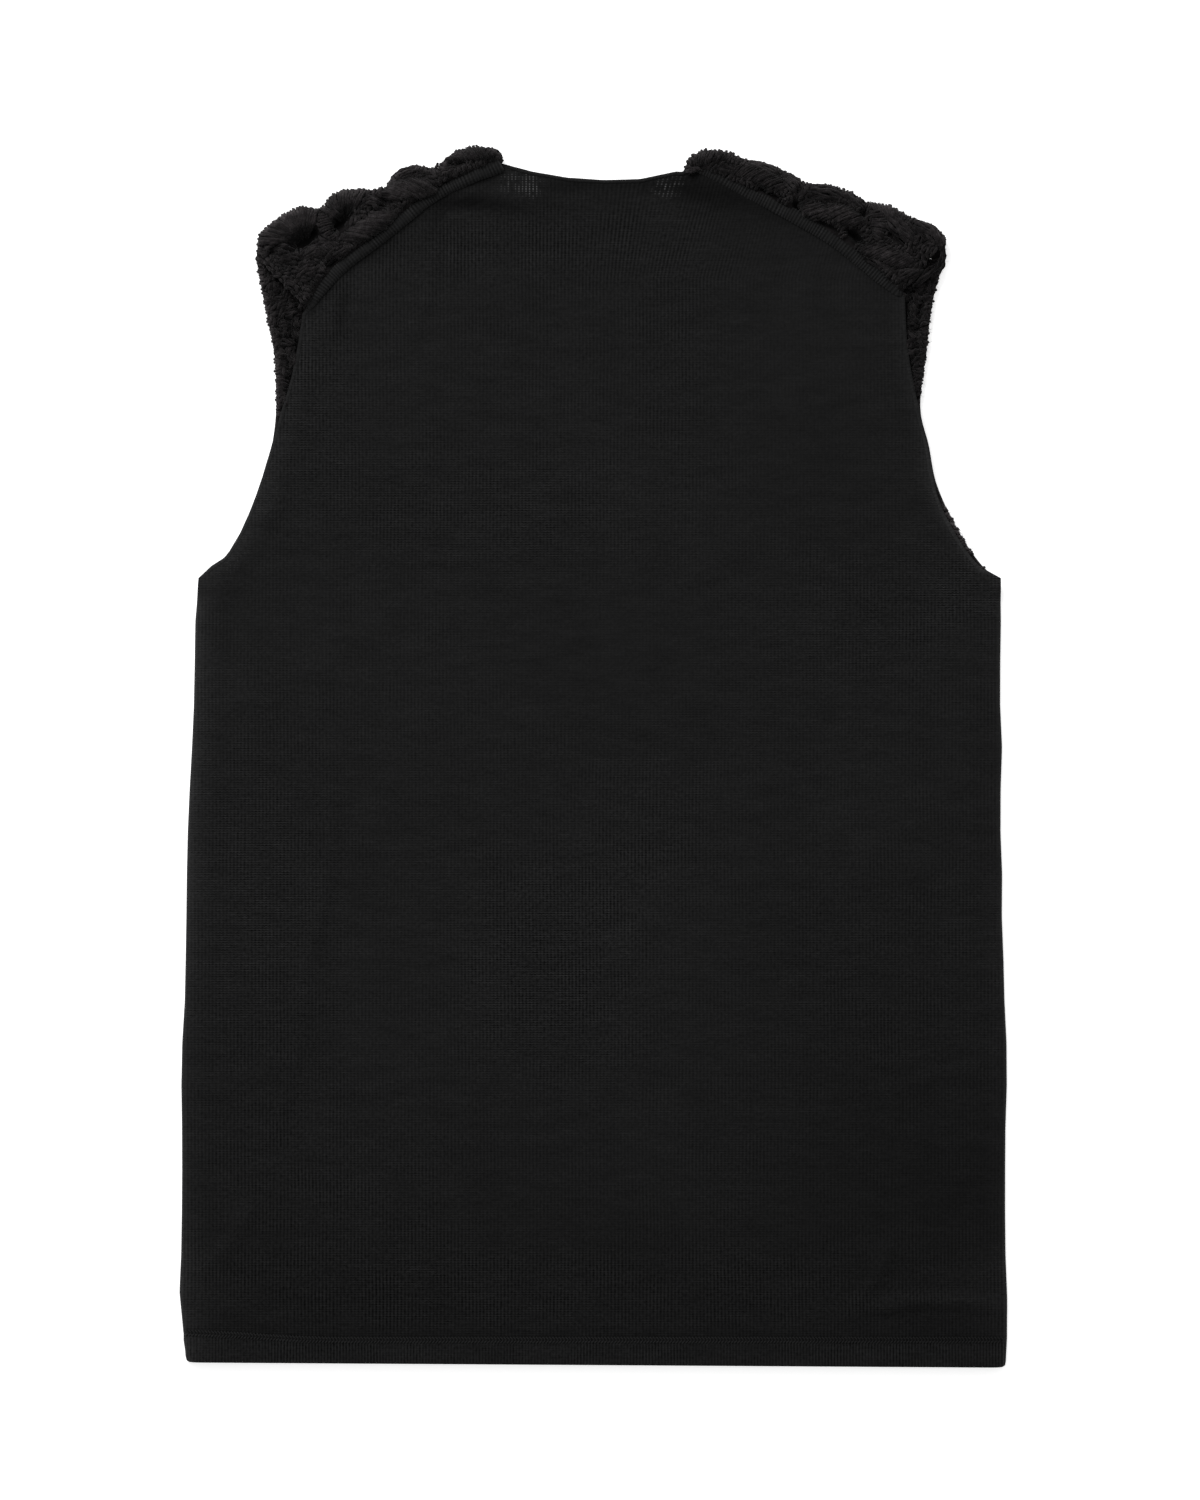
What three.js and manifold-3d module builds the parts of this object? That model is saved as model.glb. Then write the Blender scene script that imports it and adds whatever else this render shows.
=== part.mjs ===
// A sleeveless knitted vest laid flat on its face, back side up.
// The back is fine jersey. The front is chunky crochet: it lies underneath, turns over each shoulder
// and meets the back at a raised seam. Millimetres, +X to the vest's right on the table,
// +Y towards the neck, +Z up. The vest rests on z = 0, below the middle of its outline.

import * as THREE from 'three';
import { mergeVertices } from 'three/addons/utils/BufferGeometryUtils.js';
import Module from 'manifold-3d';

// ---------------------------------------------------------------- driving sizes

const SEAM_GAP = 0.3; // clearance between sewn pieces
const SAME_POINT = 1e-4; // points closer than this are one

const FRONT = {
  thick: 5.6, // crochet, relief not counted
  lip: 0.4, // height at which the edge starts to round
  edgeRound: 5.2, // width of the rounded edge
  hemY: -352,
  underarmShare: 0.66, // share of the panel's rows that lie below the underarm
  bodyRows: 14,
  armholeRows: 40,
  middleColumns: 6,
};

const BACK = {
  thick: 1.2,
  top: 7.5, // upper face of the jersey where it lies on the crochet
  roll: 7.5, // width of the turn down to each side seam
  floorGap: 0.4, // the side seams end just above the table
  hemY: -340.7,
  underarmShare: 0.72, // share of the panel's rows that lie below the underarm
  bodyRows: 18,
  armholeRows: 14,
  middleColumns: 16,
  rollFade: { from: 88, to: 103 }, // heights between which the side roll dies out at the underarm
};

const HEM_BAND = { thick: 1.7, top: 7.9, topY: -341.0, leftY: -354, rightY: -357, rows: 2 };

// Narrow bands that lie on the jersey's edges; the stations run along the band.
const TRIM = { wide: 3, lift: 0.3, thick: 1.1, crown: 0.5, stations: 19, neckInset: 1.2 };
const ARMHOLE_BAND = { fromShare: BACK.underarmShare + 0.018, toShare: 0.975 };

const SEAM_RIDGE = { halfWide: 2.75, bottom: 7.8, top: 12.1, stations: 44 };

const YOKE = {
  top: 11.0, // upper face of the turned-over crochet between its puffs
  edgeDrop: 1.8, // how far its edge rounds down towards the seam
  edgeRound: 2.2,
  foldHigh: 11.0,
  foldWide: 6.0,
  foldShare: 0.55, // the fold takes at most this share of a narrow strip
  legThick: 5.5,
  slitBottom: 5.5,
  slitTop: 6.6,
  slitStep: 0.6,
  slitArch: 0.2,
  slitInset: 5.2,
  slitWall: 1.5,
  armholeBulge: 2.6, // how far the free edge bows out at the armhole
  bulgeFrom: 0.85, // share of the shoulder's length where the bow starts
  stations: 58,
  upperSteps: 12,
};

// Scoop of the front neckline, hidden below the back: an upright U with a half-ellipse bottom.
const NECK_SCOOP = { x: -3.5, halfWide: 53.5, ellipseY: 300, deep: 85, topY: 365 };

// Side edges of the body, one row for each height.
const SIDES = [
  { y: -357, left: -239.6, right: 240.6 },
  { y: -344, left: -240.6, right: 241.2 },
  { y: -330, left: -243.6, right: 242.0 },
  { y: -294, left: -242.6, right: 240.6 },
  { y: -248, left: -242.0, right: 240.3 },
  { y: -201, left: -242.2, right: 240.8 },
  { y: -177, left: -242.6, right: 242.0 },
  { y: -154, left: -240.8, right: 239.7 },
  { y: -130, left: -240.2, right: 240.3 },
  { y: -107, left: -239.7, right: 238.5 },
  { y: -60, left: -239.1, right: 238.5 },
  { y: -36, left: -238.4, right: 237.3 },
  { y: -13, left: -237.3, right: 237.9 },
  { y: 10, left: -236.0, right: 238.5 },
  { y: 34, left: -235.0, right: 237.3 },
  { y: 70, left: -234.4, right: 237.7 },
  { y: 92, left: -233.8, right: 237.9 },
  { y: 105, left: -232.0, right: 237.4 },
];

// Armhole edges of the jersey, from the underarm up to the end of the shoulder seam.
const BACK_ARMHOLE_LEFT = [
  { x: -232, y: 105 },
  { x: -224, y: 109 },
  { x: -213, y: 122 },
  { x: -204, y: 139 },
  { x: -195, y: 163 },
  { x: -186, y: 194 },
  { x: -176, y: 229 },
  { x: -171.2, y: 259.5 },
];
const BACK_ARMHOLE_RIGHT = [
  { x: 237.4, y: 105 },
  { x: 228, y: 108.5 },
  { x: 213, y: 127.5 },
  { x: 201, y: 151 },
  { x: 194.6, y: 183 },
  { x: 188, y: 211 },
  { x: 182.8, y: 240 },
  { x: 181.3, y: 269.5 },
];

// Armhole edges of the crochet front, from the underarm up to the shoulder.
const FRONT_ARMHOLE_LEFT = [
  { x: -229, y: 102 },
  { x: -214, y: 118 },
  { x: -203, y: 137 },
  { x: -192, y: 170 },
  { x: -187, y: 200 },
  { x: -187.5, y: 233 },
  { x: -191.6, y: 256.4 },
  { x: -196.3, y: 279.8 },
  { x: -197.8, y: 291.6 },
];
const FRONT_ARMHOLE_RIGHT = [
  { x: 236.5, y: 103 },
  { x: 225.6, y: 113.4 },
  { x: 213.3, y: 131.6 },
  { x: 200, y: 160 },
  { x: 195.4, y: 183 },
  { x: 190.6, y: 203 },
  { x: 194.0, y: 238 },
  { x: 198.0, y: 268 },
  { x: 204.0, y: 289.4 },
];

// Centre lines of the two shoulder seams, from the neck out to the armhole.
const SEAM_LEFT = [
  { x: -54, y: 349 },
  { x: -95, y: 332 },
  { x: -121.5, y: 311 },
  { x: -149, y: 290 },
  { x: -161, y: 276.5 },
  { x: -169.8, y: 260.8 },
];
const SEAM_RIGHT = [
  { x: 56, y: 345.6 },
  { x: 73.5, y: 339.6 },
  { x: 110, y: 322 },
  { x: 141, y: 304 },
  { x: 164, y: 286 },
  { x: 179.6, y: 271.4 },
];

// Back neckline between the seams.
const NECKLINE = [
  { x: -51, y: 346.6 },
  { x: -32, y: 341.8 },
  { x: -12, y: 338.8 },
  { x: 15, y: 337.8 },
  { x: 34, y: 339.4 },
  { x: 53, y: 344.6 },
];

// Outline of the crochet fold on each shoulder, from the neck out to the armhole.
const FOLD_LEFT = [
  { x: -56.0, y: 354.6 },
  { x: -66.2, y: 357.2 },
  { x: -76.8, y: 356.0 },
  { x: -86.1, y: 351.0 },
  { x: -92.6, y: 344.2 },
  { x: -106.1, y: 345.9 },
  { x: -116.2, y: 341.6 },
  { x: -123.1, y: 333.2 },
  { x: -140.1, y: 331.8 },
  { x: -152.6, y: 329.6 },
  { x: -160.6, y: 320.4 },
  { x: -171.1, y: 321.9 },
  { x: -182.2, y: 317.2 },
  { x: -196.4, y: 306.2 },
];
const FOLD_RIGHT = [
  { x: 55.8, y: 351.4 },
  { x: 63.5, y: 355.0 },
  { x: 76.0, y: 354.4 },
  { x: 89.5, y: 349.0 },
  { x: 101.5, y: 346.6 },
  { x: 113.5, y: 341.3 },
  { x: 124.8, y: 335.0 },
  { x: 134.5, y: 334.8 },
  { x: 148.5, y: 330.8 },
  { x: 159.0, y: 324.6 },
  { x: 172.0, y: 322.4 },
  { x: 186.3, y: 314.8 },
  { x: 197.6, y: 310.6 },
  { x: 204.6, y: 303.6 },
];

// Where the crochet that turns under at each shoulder meets the front panel, neck end first.
const UNDER_SEAM_LEFT = [
  { x: -57.5, y: 341 },
  { x: -197.8, y: 292 },
];
const UNDER_SEAM_RIGHT = [
  { x: 51, y: 338 },
  { x: 204, y: 290 },
];

// Crochet puffs, as domes on the turned-over crochet: centre, size along and across, turn of the long
// side from +X, and rise. Pockets between puffs have a negative rise.
const PUFFS_LEFT = [
  { x: -72, y: 352.5, long: 30, wide: 12, turn: 0, rise: 2.6 },
  { x: -106, y: 333, long: 34, wide: 19, turn: 22, rise: 4.0 },
  { x: -134, y: 312, long: 32, wide: 15, turn: 33, rise: 3.6 },
  { x: -142, y: 323, long: 25, wide: 15, turn: 38, rise: 3.4 },
  { x: -173, y: 315, long: 33, wide: 15, turn: 24, rise: 4.0 },
  { x: -179, y: 291, long: 23, wide: 14, turn: 40, rise: 2.6 },
  { x: -162, y: 291, long: 22, wide: 12, turn: 36, rise: 2.8 },
  { x: -149.5, y: 313.5, long: 16, wide: 9, turn: 60, rise: -2.6 },
  { x: -169, y: 302, long: 20, wide: 9, turn: 25, rise: -2.8 },
  { x: -122.5, y: 323, long: 14, wide: 8, turn: 60, rise: -2.2 },
];
const PUFFS_RIGHT = [
  { x: 70, y: 350, long: 24, wide: 10, turn: -10, rise: 2.4 },
  { x: 96, y: 342, long: 24, wide: 12, turn: -26, rise: 3.0 },
  { x: 116, y: 332.5, long: 21, wide: 14, turn: -35, rise: 3.2 },
  { x: 137, y: 322, long: 32, wide: 17, turn: -22, rise: 3.8 },
  { x: 164, y: 312, long: 26, wide: 16, turn: -28, rise: 3.4 },
  { x: 170, y: 293, long: 26, wide: 13, turn: -38, rise: 3.4 },
  { x: 188, y: 302, long: 24, wide: 17, turn: -40, rise: 3.4 },
  { x: 112, y: 323.5, long: 14, wide: 7, turn: -30, rise: -2.2 },
  { x: 128, y: 312.5, long: 16, wide: 7, turn: -30, rise: -2.2 },
  { x: 153, y: 302, long: 14, wide: 8, turn: -35, rise: -2.4 },
];

// Bumps along the bare armhole margin of the crochet front.
const MARGIN_BUMPS = { pitch: 11, rise: 1.3, fadeIn: 1.5, fadeFull: 5 };

// Sections across an edge: distances from the edge in the finer margin, then even columns.
const ROLL_ANGLES = [0, 22, 45, 67, 90].map(THREE.MathUtils.degToRad);
const EDGE_ANGLES = [0, 30, 60, 90].map(THREE.MathUtils.degToRad);
const FRONT_MARGINS = [9, 13, 18, 24, 31];
const TRIM_COLUMNS = [0.2, TRIM.wide / 2, TRIM.wide];
const FOLD_ANGLES = [60, 30, 0, -30, -60, -90].map(THREE.MathUtils.degToRad);

// ---------------------------------------------------------------- materials

const JERSEY = { color: 0x1b1b1b, roughness: 0.95, metalness: 0 };
const CROCHET = { color: 0x211e1d, roughness: 0.98, metalness: 0 };

// ---------------------------------------------------------------- curves

const { lerp, smoothstep } = THREE.MathUtils;

/** Smooth curve through a table of { x, y } rows. */
function curveThrough(rows) {
  const points = rows.map(({ x, y }) => new THREE.Vector3(x, y, 0));
  return new THREE.CatmullRomCurve3(points, false, 'centripetal');
}

/** Value of one column of SIDES at height y, read smoothly between its rows. */
function sideAt(y, column) {
  const last = SIDES.length - 2;
  const above = SIDES.findIndex((row) => row.y > y);
  const i = above < 0 ? last : Math.min(Math.max(above - 1, 0), last);
  const [a, b] = [SIDES[i], SIDES[i + 1]];
  const before = SIDES[Math.max(i - 1, 0)];
  const after = SIDES[Math.min(i + 2, last + 1)];
  const span = b.y - a.y;
  const t = THREE.MathUtils.clamp((y - a.y) / span, 0, 1);
  const slopeA = ((b[column] - before[column]) / (b.y - before.y)) * span;
  const slopeB = ((after[column] - a[column]) / (after.y - a.y)) * span;
  return (
    a[column] * (2 * t ** 3 - 3 * t ** 2 + 1) +
    slopeA * (t ** 3 - 2 * t ** 2 + t) +
    b[column] * (3 * t ** 2 - 2 * t ** 3) +
    slopeB * (t ** 3 - t ** 2)
  );
}

/** Height y of a curve that runs along +X, at x. */
function heightReader(curve, samples = 400) {
  const points = curve.getPoints(samples).sort((a, b) => a.x - b.x);
  return (x) => {
    const next = points.findIndex((p) => p.x >= x);
    if (next < 0) return points[points.length - 1].y;
    if (next === 0) return points[0].y;
    const [a, b] = [points[next - 1], points[next]];
    return lerp(a.y, b.y, (x - a.x) / (b.x - a.x));
  };
}

/** Position x of a curve that climbs along +Y, at y. */
function widthReader(rows) {
  const curve = curveThrough(rows.map(({ x, y }) => ({ x: y, y: x })));
  return heightReader(curve);
}

/** Unit step across a seam, away from the body, at share t of its length. */
function outwardAt(curve, t) {
  const along = curve.getTangentAt(t);
  const out = new THREE.Vector3(-along.y, along.x, 0);
  return out.y < 0 ? out.negate() : out;
}

// ---------------------------------------------------------------- panels in plan

/**
 * A panel's plan: v runs from its hem (0) to its top edge (1), u from its left edge to its right.
 * left(v) and right(v) are its side edges, crown(x) is the height of its top edge.
 */
class PanelPlan {
  constructor(left, right, crown) {
    Object.assign(this, { left, right, crown });
    this.topLeft = left(1);
    this.topRight = right(1);
  }

  width(v) {
    return this.right(v).distanceTo(this.left(v));
  }

  at(u, v) {
    const point = new THREE.Vector3().lerpVectors(this.left(v), this.right(v), u);
    const top = new THREE.Vector3().lerpVectors(this.topLeft, this.topRight, u);
    point.y += v * (this.crown(top.x) - top.y);
    return point;
  }

  /** Point at a distance from the left edge, or from the right edge when side is 1. */
  fromEdge(side, distance, v) {
    const u = distance / this.width(v);
    return this.at(side > 0 ? 1 - u : u, v);
  }
}

const JOIN_FROM = 0.94; // share of the body's height from which its side leans to the underarm point

/** Side edge: body side up to the underarm, then the armhole. */
function sideEdge({ column, hemY, inset, armhole, share }) {
  const curve = curveThrough(armhole);
  const underarm = armhole[0];
  return (v) => {
    if (v > share) return curve.getPointAt((v - share) / (1 - share));
    const y = lerp(hemY, underarm.y, v / share);
    const join = underarm.x - (sideAt(underarm.y, column) + inset);
    const fade = smoothstep(v / share, JOIN_FROM, 1);
    return new THREE.Vector3(sideAt(y, column) + inset + join * fade, y, 0);
  };
}

function evenSteps(from, to, count) {
  return Array.from({ length: count }, (_, i) => lerp(from, to, i / (count - 1)));
}

function rowShares({ bodyRows, armholeRows, underarmShare }) {
  const body = evenSteps(0, underarmShare, bodyRows + 1);
  return [...body, ...evenSteps(underarmShare, 1, armholeRows + 1).slice(1)];
}

const seamLeft = curveThrough(SEAM_LEFT);
const seamRight = curveThrough(SEAM_RIGHT);

const backTop = heightReader(
  curveThrough([
    BACK_ARMHOLE_LEFT.at(-1),
    ...SEAM_LEFT.slice(0, -1).reverse(),
    ...NECKLINE,
    ...SEAM_RIGHT.slice(0, -1),
    BACK_ARMHOLE_RIGHT.at(-1),
  ]),
);

const backPlan = new PanelPlan(
  sideEdge({
    column: 'left', hemY: BACK.hemY, inset: 0, armhole: BACK_ARMHOLE_LEFT, share: BACK.underarmShare,
  }),
  sideEdge({
    column: 'right', hemY: BACK.hemY, inset: 0, armhole: BACK_ARMHOLE_RIGHT, share: BACK.underarmShare,
  }),
  backTop,
);

// ---------------------------------------------------------------- closed meshes

/** Collects triangles, then gives them as one geometry. */
class Faces {
  constructor() {
    this.positions = [];
  }

  triangle(a, b, c) {
    for (const p of [a, b, c]) this.positions.push(p.x, p.y, p.z);
  }

  quad(a, b, c, d) {
    this.triangle(a, b, c);
    this.triangle(a, c, d);
  }

  geometry() {
    const geometry = new THREE.BufferGeometry();
    geometry.setAttribute('position', new THREE.Float32BufferAttribute(this.positions, 3));
    const merged = mergeVertices(geometry, SAME_POINT);
    merged.computeVertexNormals();
    return merged;
  }
}

/** Wall between an upper and a lower grid of points, both rows by columns, closed round its rim. */
function wallGeometry(upper, lower) {
  const faces = new Faces();
  const [rows, columns] = [upper.length - 1, upper[0].length - 1];
  for (let i = 0; i < rows; i++) {
    for (let j = 0; j < columns; j++) {
      faces.quad(upper[i][j], upper[i][j + 1], upper[i + 1][j + 1], upper[i + 1][j]);
      faces.quad(lower[i][j], lower[i + 1][j], lower[i + 1][j + 1], lower[i][j + 1]);
    }
    faces.quad(lower[i][0], upper[i][0], upper[i + 1][0], lower[i + 1][0]);
    faces.quad(upper[i][columns], lower[i][columns], lower[i + 1][columns], upper[i + 1][columns]);
  }
  for (let j = 0; j < columns; j++) {
    faces.quad(lower[0][j], lower[0][j + 1], upper[0][j + 1], upper[0][j]);
    faces.quad(upper[rows][j], upper[rows][j + 1], lower[rows][j + 1], lower[rows][j]);
  }
  return faces.geometry();
}

/** Upper grid closed by a flat underside at z = 0, straight below its rim. */
function slabGeometry(upper) {
  const faces = new Faces();
  const [rows, columns] = [upper.length - 1, upper[0].length - 1];
  const foot = (i, j) => upper[i][j].clone().setZ(0);
  for (let i = 0; i < rows; i++) {
    for (let j = 0; j < columns; j++) {
      faces.quad(upper[i][j], upper[i][j + 1], upper[i + 1][j + 1], upper[i + 1][j]);
    }
    faces.quad(foot(i, 0), upper[i][0], upper[i + 1][0], foot(i + 1, 0));
    faces.quad(upper[i][columns], foot(i, columns), foot(i + 1, columns), upper[i + 1][columns]);
  }
  // the underside: a ladder of rows, with a fan at the hem and one at the top edge
  for (let i = 1; i < rows - 1; i++) {
    faces.quad(foot(i, 0), foot(i + 1, 0), foot(i + 1, columns), foot(i, columns));
  }
  for (let j = 0; j < columns; j++) {
    faces.quad(foot(0, j), foot(0, j + 1), upper[0][j + 1], upper[0][j]);
    faces.quad(upper[rows][j], upper[rows][j + 1], foot(rows, j + 1), foot(rows, j));
    faces.triangle(foot(0, j), foot(1, 0), foot(0, j + 1));
    faces.triangle(foot(rows - 1, 0), foot(rows, j), foot(rows, j + 1));
  }
  faces.triangle(foot(0, columns), foot(1, 0), foot(1, columns));
  faces.triangle(foot(rows - 1, 0), foot(rows, columns), foot(rows - 1, columns));
  return faces.geometry();
}

/** Triangles of a flat outline, turned the way the outline runs. */
function capTriangles(outline) {
  const contour = outline.map((p) => new THREE.Vector2(p.x, p.y));
  const turn = Math.sign(THREE.ShapeUtils.area(contour));
  return THREE.ShapeUtils.triangulateShape(contour, []).map(([a, b, c]) => {
    const same = Math.sign(THREE.ShapeUtils.area([contour[a], contour[b], contour[c]])) === turn;
    return same ? [a, b, c] : [a, c, b];
  });
}

/** Solid through a row of like sections; section is their flat outline, for the two ends. */
function loftGeometry(rings, firstSection, lastSection, flip) {
  const faces = new Faces();
  const quad = (a, b, c, d) => (flip ? faces.quad(d, c, b, a) : faces.quad(a, b, c, d));
  const triangle = (a, b, c) => (flip ? faces.triangle(c, b, a) : faces.triangle(a, b, c));
  const count = rings[0].length;
  for (let i = 0; i < rings.length - 1; i++) {
    for (let j = 0; j < count; j++) {
      const next = (j + 1) % count;
      quad(rings[i][j], rings[i][next], rings[i + 1][next], rings[i + 1][j]);
    }
  }
  const [first, last] = [rings[0], rings.at(-1)];
  for (const [a, b, c] of capTriangles(firstSection)) triangle(first[c], first[b], first[a]);
  for (const [a, b, c] of capTriangles(lastSection)) triangle(last[a], last[b], last[c]);
  return faces.geometry();
}

// ---------------------------------------------------------------- jersey back

/**
 * Section of a jersey side: a quarter-ellipse roll from the flat cloth down to the side seam.
 * amount 0 leaves the cloth flat, 1 turns it fully down.
 */
function rollSection(angle, amount, top, thick) {
  const drop = top - BACK.floorGap;
  const up = 1 - Math.sin(angle);
  return {
    outer: { edge: BACK.roll * (1 - Math.cos(angle)), z: top - amount * drop * up },
    inner: {
      edge: BACK.roll - (BACK.roll - amount * thick) * Math.cos(angle),
      z: top - thick - amount * (drop - thick) * up,
    },
  };
}

/** Upper and lower rows of points across a jersey piece at row v. */
function jerseyRow(plan, v, amount, top, thick, middleColumns) {
  const rows = { upper: [], lower: [] };
  const margin = (side, angles) => {
    for (const angle of angles) {
      const { outer, inner } = rollSection(angle, amount, top, thick);
      rows.upper.push(plan.fromEdge(side, outer.edge, v).setZ(outer.z));
      rows.lower.push(plan.fromEdge(side, inner.edge, v).setZ(inner.z));
    }
  };
  margin(-1, ROLL_ANGLES);
  const edge = BACK.roll / plan.width(v);
  for (let i = 1; i < middleColumns; i++) {
    const point = plan.at(lerp(edge, 1 - edge, i / middleColumns), v);
    rows.upper.push(point.clone().setZ(top));
    rows.lower.push(point.clone().setZ(top - thick));
  }
  margin(1, [...ROLL_ANGLES].reverse());
  return rows;
}

function rollAmount(y) {
  return 1 - smoothstep(y, BACK.rollFade.from, BACK.rollFade.to);
}

function backPanel() {
  const rows = rowShares(BACK).map((v) => {
    const amount = rollAmount(backPlan.left(v).y);
    return jerseyRow(backPlan, v, amount, BACK.top, BACK.thick, BACK.middleColumns);
  });
  return wallGeometry(rows.map((row) => row.upper), rows.map((row) => row.lower));
}

function backHemBand() {
  const edge = (column, hemY) => (v) => {
    const y = lerp(hemY, HEM_BAND.topY - SEAM_GAP, v);
    return new THREE.Vector3(sideAt(y, column), y, 0);
  };
  const left = edge('left', HEM_BAND.leftY);
  const right = edge('right', HEM_BAND.rightY);
  const plan = new PanelPlan(left, right, () => HEM_BAND.topY - SEAM_GAP);
  const rows = evenSteps(0, 1, HEM_BAND.rows + 1).map((v) =>
    jerseyRow(plan, v, 1, HEM_BAND.top, HEM_BAND.thick, BACK.middleColumns),
  );
  return wallGeometry(rows.map((row) => row.upper), rows.map((row) => row.lower));
}

/** Strip that lies on the jersey: its points are the cloth's, moved up. */
function trimGeometry(rows) {
  const raised = (row, extra) =>
    row.map((p, j) => {
      const crown = j === 1 ? TRIM.crown : 0;
      return p.clone().setZ(p.z + TRIM.lift + extra * (TRIM.thick + crown));
    });
  return wallGeometry(rows.map((row) => raised(row, 1)), rows.map((row) => raised(row, 0)));
}

function neckTrim() {
  const [from, to] = [NECKLINE[0].x + TRIM.neckInset, NECKLINE.at(-1).x - TRIM.neckInset];
  const columns = evenSteps(from, to, TRIM.stations);
  const rows = [...TRIM_COLUMNS].reverse().map((depth) =>
    columns.map((x) => new THREE.Vector3(x, backTop(x) - depth, BACK.top)),
  );
  return trimGeometry(rows);
}

function armholeBinding(side) {
  const depths = side < 0 ? TRIM_COLUMNS : [...TRIM_COLUMNS].reverse();
  const rows = evenSteps(ARMHOLE_BAND.fromShare, ARMHOLE_BAND.toShare, TRIM.stations).map((v) =>
    depths.map((depth) => backPlan.fromEdge(side, depth, v).setZ(BACK.top)),
  );
  return trimGeometry(rows);
}

// ---------------------------------------------------------------- crochet front

function frontPlan() {
  const edgeInset = BACK.roll - FRONT.edgeRound;
  const corners = [UNDER_SEAM_LEFT[1], UNDER_SEAM_LEFT[0], UNDER_SEAM_RIGHT[0], UNDER_SEAM_RIGHT[1]];
  const crown = (x) => {
    const next = Math.max(corners.findIndex((p) => p.x >= x), 1);
    const [a, b] = [corners[next - 1], corners[next]];
    return lerp(a.y, b.y, (x - a.x) / (b.x - a.x)) - SEAM_GAP;
  };
  const sides = { hemY: FRONT.hemY, share: FRONT.underarmShare };
  return new PanelPlan(
    sideEdge({ ...sides, column: 'left', inset: edgeInset, armhole: FRONT_ARMHOLE_LEFT }),
    sideEdge({ ...sides, column: 'right', inset: -edgeInset, armhole: FRONT_ARMHOLE_RIGHT }),
    crown,
  );
}

/** Edge of what covers the crochet margin from above: armhole of the back, then the turned-over yoke. */
const coverLeft = widthReader([...BACK_ARMHOLE_LEFT.slice(3), FOLD_LEFT.at(-1)]);
const coverRight = widthReader([...BACK_ARMHOLE_RIGHT.slice(3), FOLD_RIGHT.at(-1)]);

function marginBump(point, side) {
  if (point.y < BACK_ARMHOLE_LEFT[3].y) return 0;
  const cover = side < 0 ? coverLeft(point.y) : coverRight(point.y);
  const bare = side * (point.x - cover);
  const wave = 0.5 + 0.5 * Math.cos((2 * Math.PI * point.y) / MARGIN_BUMPS.pitch);
  return MARGIN_BUMPS.rise * wave * smoothstep(bare, MARGIN_BUMPS.fadeIn, MARGIN_BUMPS.fadeFull);
}

function frontPanelRows() {
  const plan = frontPlan();
  return rowShares(FRONT).map((v) => {
    const row = [];
    const margin = (side) => {
      const round = EDGE_ANGLES.map((angle) => ({
        edge: FRONT.edgeRound * (1 - Math.cos(angle)),
        z: lerp(FRONT.lip, FRONT.thick, Math.sin(angle)),
        share: Math.sin(angle),
      }));
      const flat = FRONT_MARGINS.map((edge) => ({ edge, z: FRONT.thick, share: 1 }));
      const points = [...round, ...flat].map(({ edge, z, share }) => {
        const point = plan.fromEdge(side, edge, v);
        return point.setZ(z + share * marginBump(point, side));
      });
      return side < 0 ? points : points.reverse();
    };
    row.push(...margin(-1));
    const edge = FRONT_MARGINS.at(-1) / plan.width(v);
    for (let i = 1; i < FRONT.middleColumns; i++) {
      row.push(plan.at(lerp(edge, 1 - edge, i / FRONT.middleColumns), v).setZ(FRONT.thick));
    }
    row.push(...margin(1));
    return row;
  });
}

function neckScoop() {
  const { x, halfWide, ellipseY, deep, topY } = NECK_SCOOP;
  const shape = new THREE.Shape();
  shape.moveTo(x + halfWide, topY);
  shape.lineTo(x - halfWide, topY);
  shape.lineTo(x - halfWide, ellipseY);
  shape.absellipse(x, ellipseY, halfWide, deep, Math.PI, 2 * Math.PI, false);
  const below = FRONT.thick;
  const geometry = new THREE.ExtrudeGeometry(shape, {
    depth: FRONT.thick + 2 * below, bevelEnabled: false, curveSegments: 28,
  });
  return geometry.translate(0, 0, -below);
}

/** One closed geometry with another cut out of it. */
async function cutAway(body, tool) {
  const wasm = await Module();
  wasm.setup();
  const solid = (geometry) => {
    const bare = geometry.clone();
    bare.deleteAttribute('normal');
    bare.deleteAttribute('uv');
    const merged = mergeVertices(bare, SAME_POINT);
    return new wasm.Manifold(
      new wasm.Mesh({
        numProp: 3,
        vertProperties: new Float32Array(merged.attributes.position.array),
        triVerts: new Uint32Array(merged.index.array),
      }),
    );
  };
  const mesh = solid(body).subtract(solid(tool)).getMesh();
  const geometry = new THREE.BufferGeometry();
  geometry.setAttribute('position', new THREE.BufferAttribute(new Float32Array(mesh.vertProperties), 3));
  geometry.setIndex(new THREE.BufferAttribute(new Uint32Array(mesh.triVerts), 1));
  geometry.computeVertexNormals();
  return geometry;
}

// ---------------------------------------------------------------- crochet over the shoulders

/** Height of the puffs and pockets at a point of the plan. */
function puffRelief(puffs, x, y) {
  let [raised, sunk] = [0, 0];
  for (const puff of puffs) {
    const turn = THREE.MathUtils.degToRad(puff.turn);
    const [dx, dy] = [x - puff.x, y - puff.y];
    const along = (dx * Math.cos(turn) + dy * Math.sin(turn)) / (puff.long / 2);
    const across = (dy * Math.cos(turn) - dx * Math.sin(turn)) / (puff.wide / 2);
    const dome = Math.sqrt(Math.max(0, 1 - along ** 2 - across ** 2));
    raised = Math.max(raised, puff.rise * dome);
    sunk = Math.min(sunk, puff.rise * dome);
  }
  return raised + sunk;
}

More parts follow.
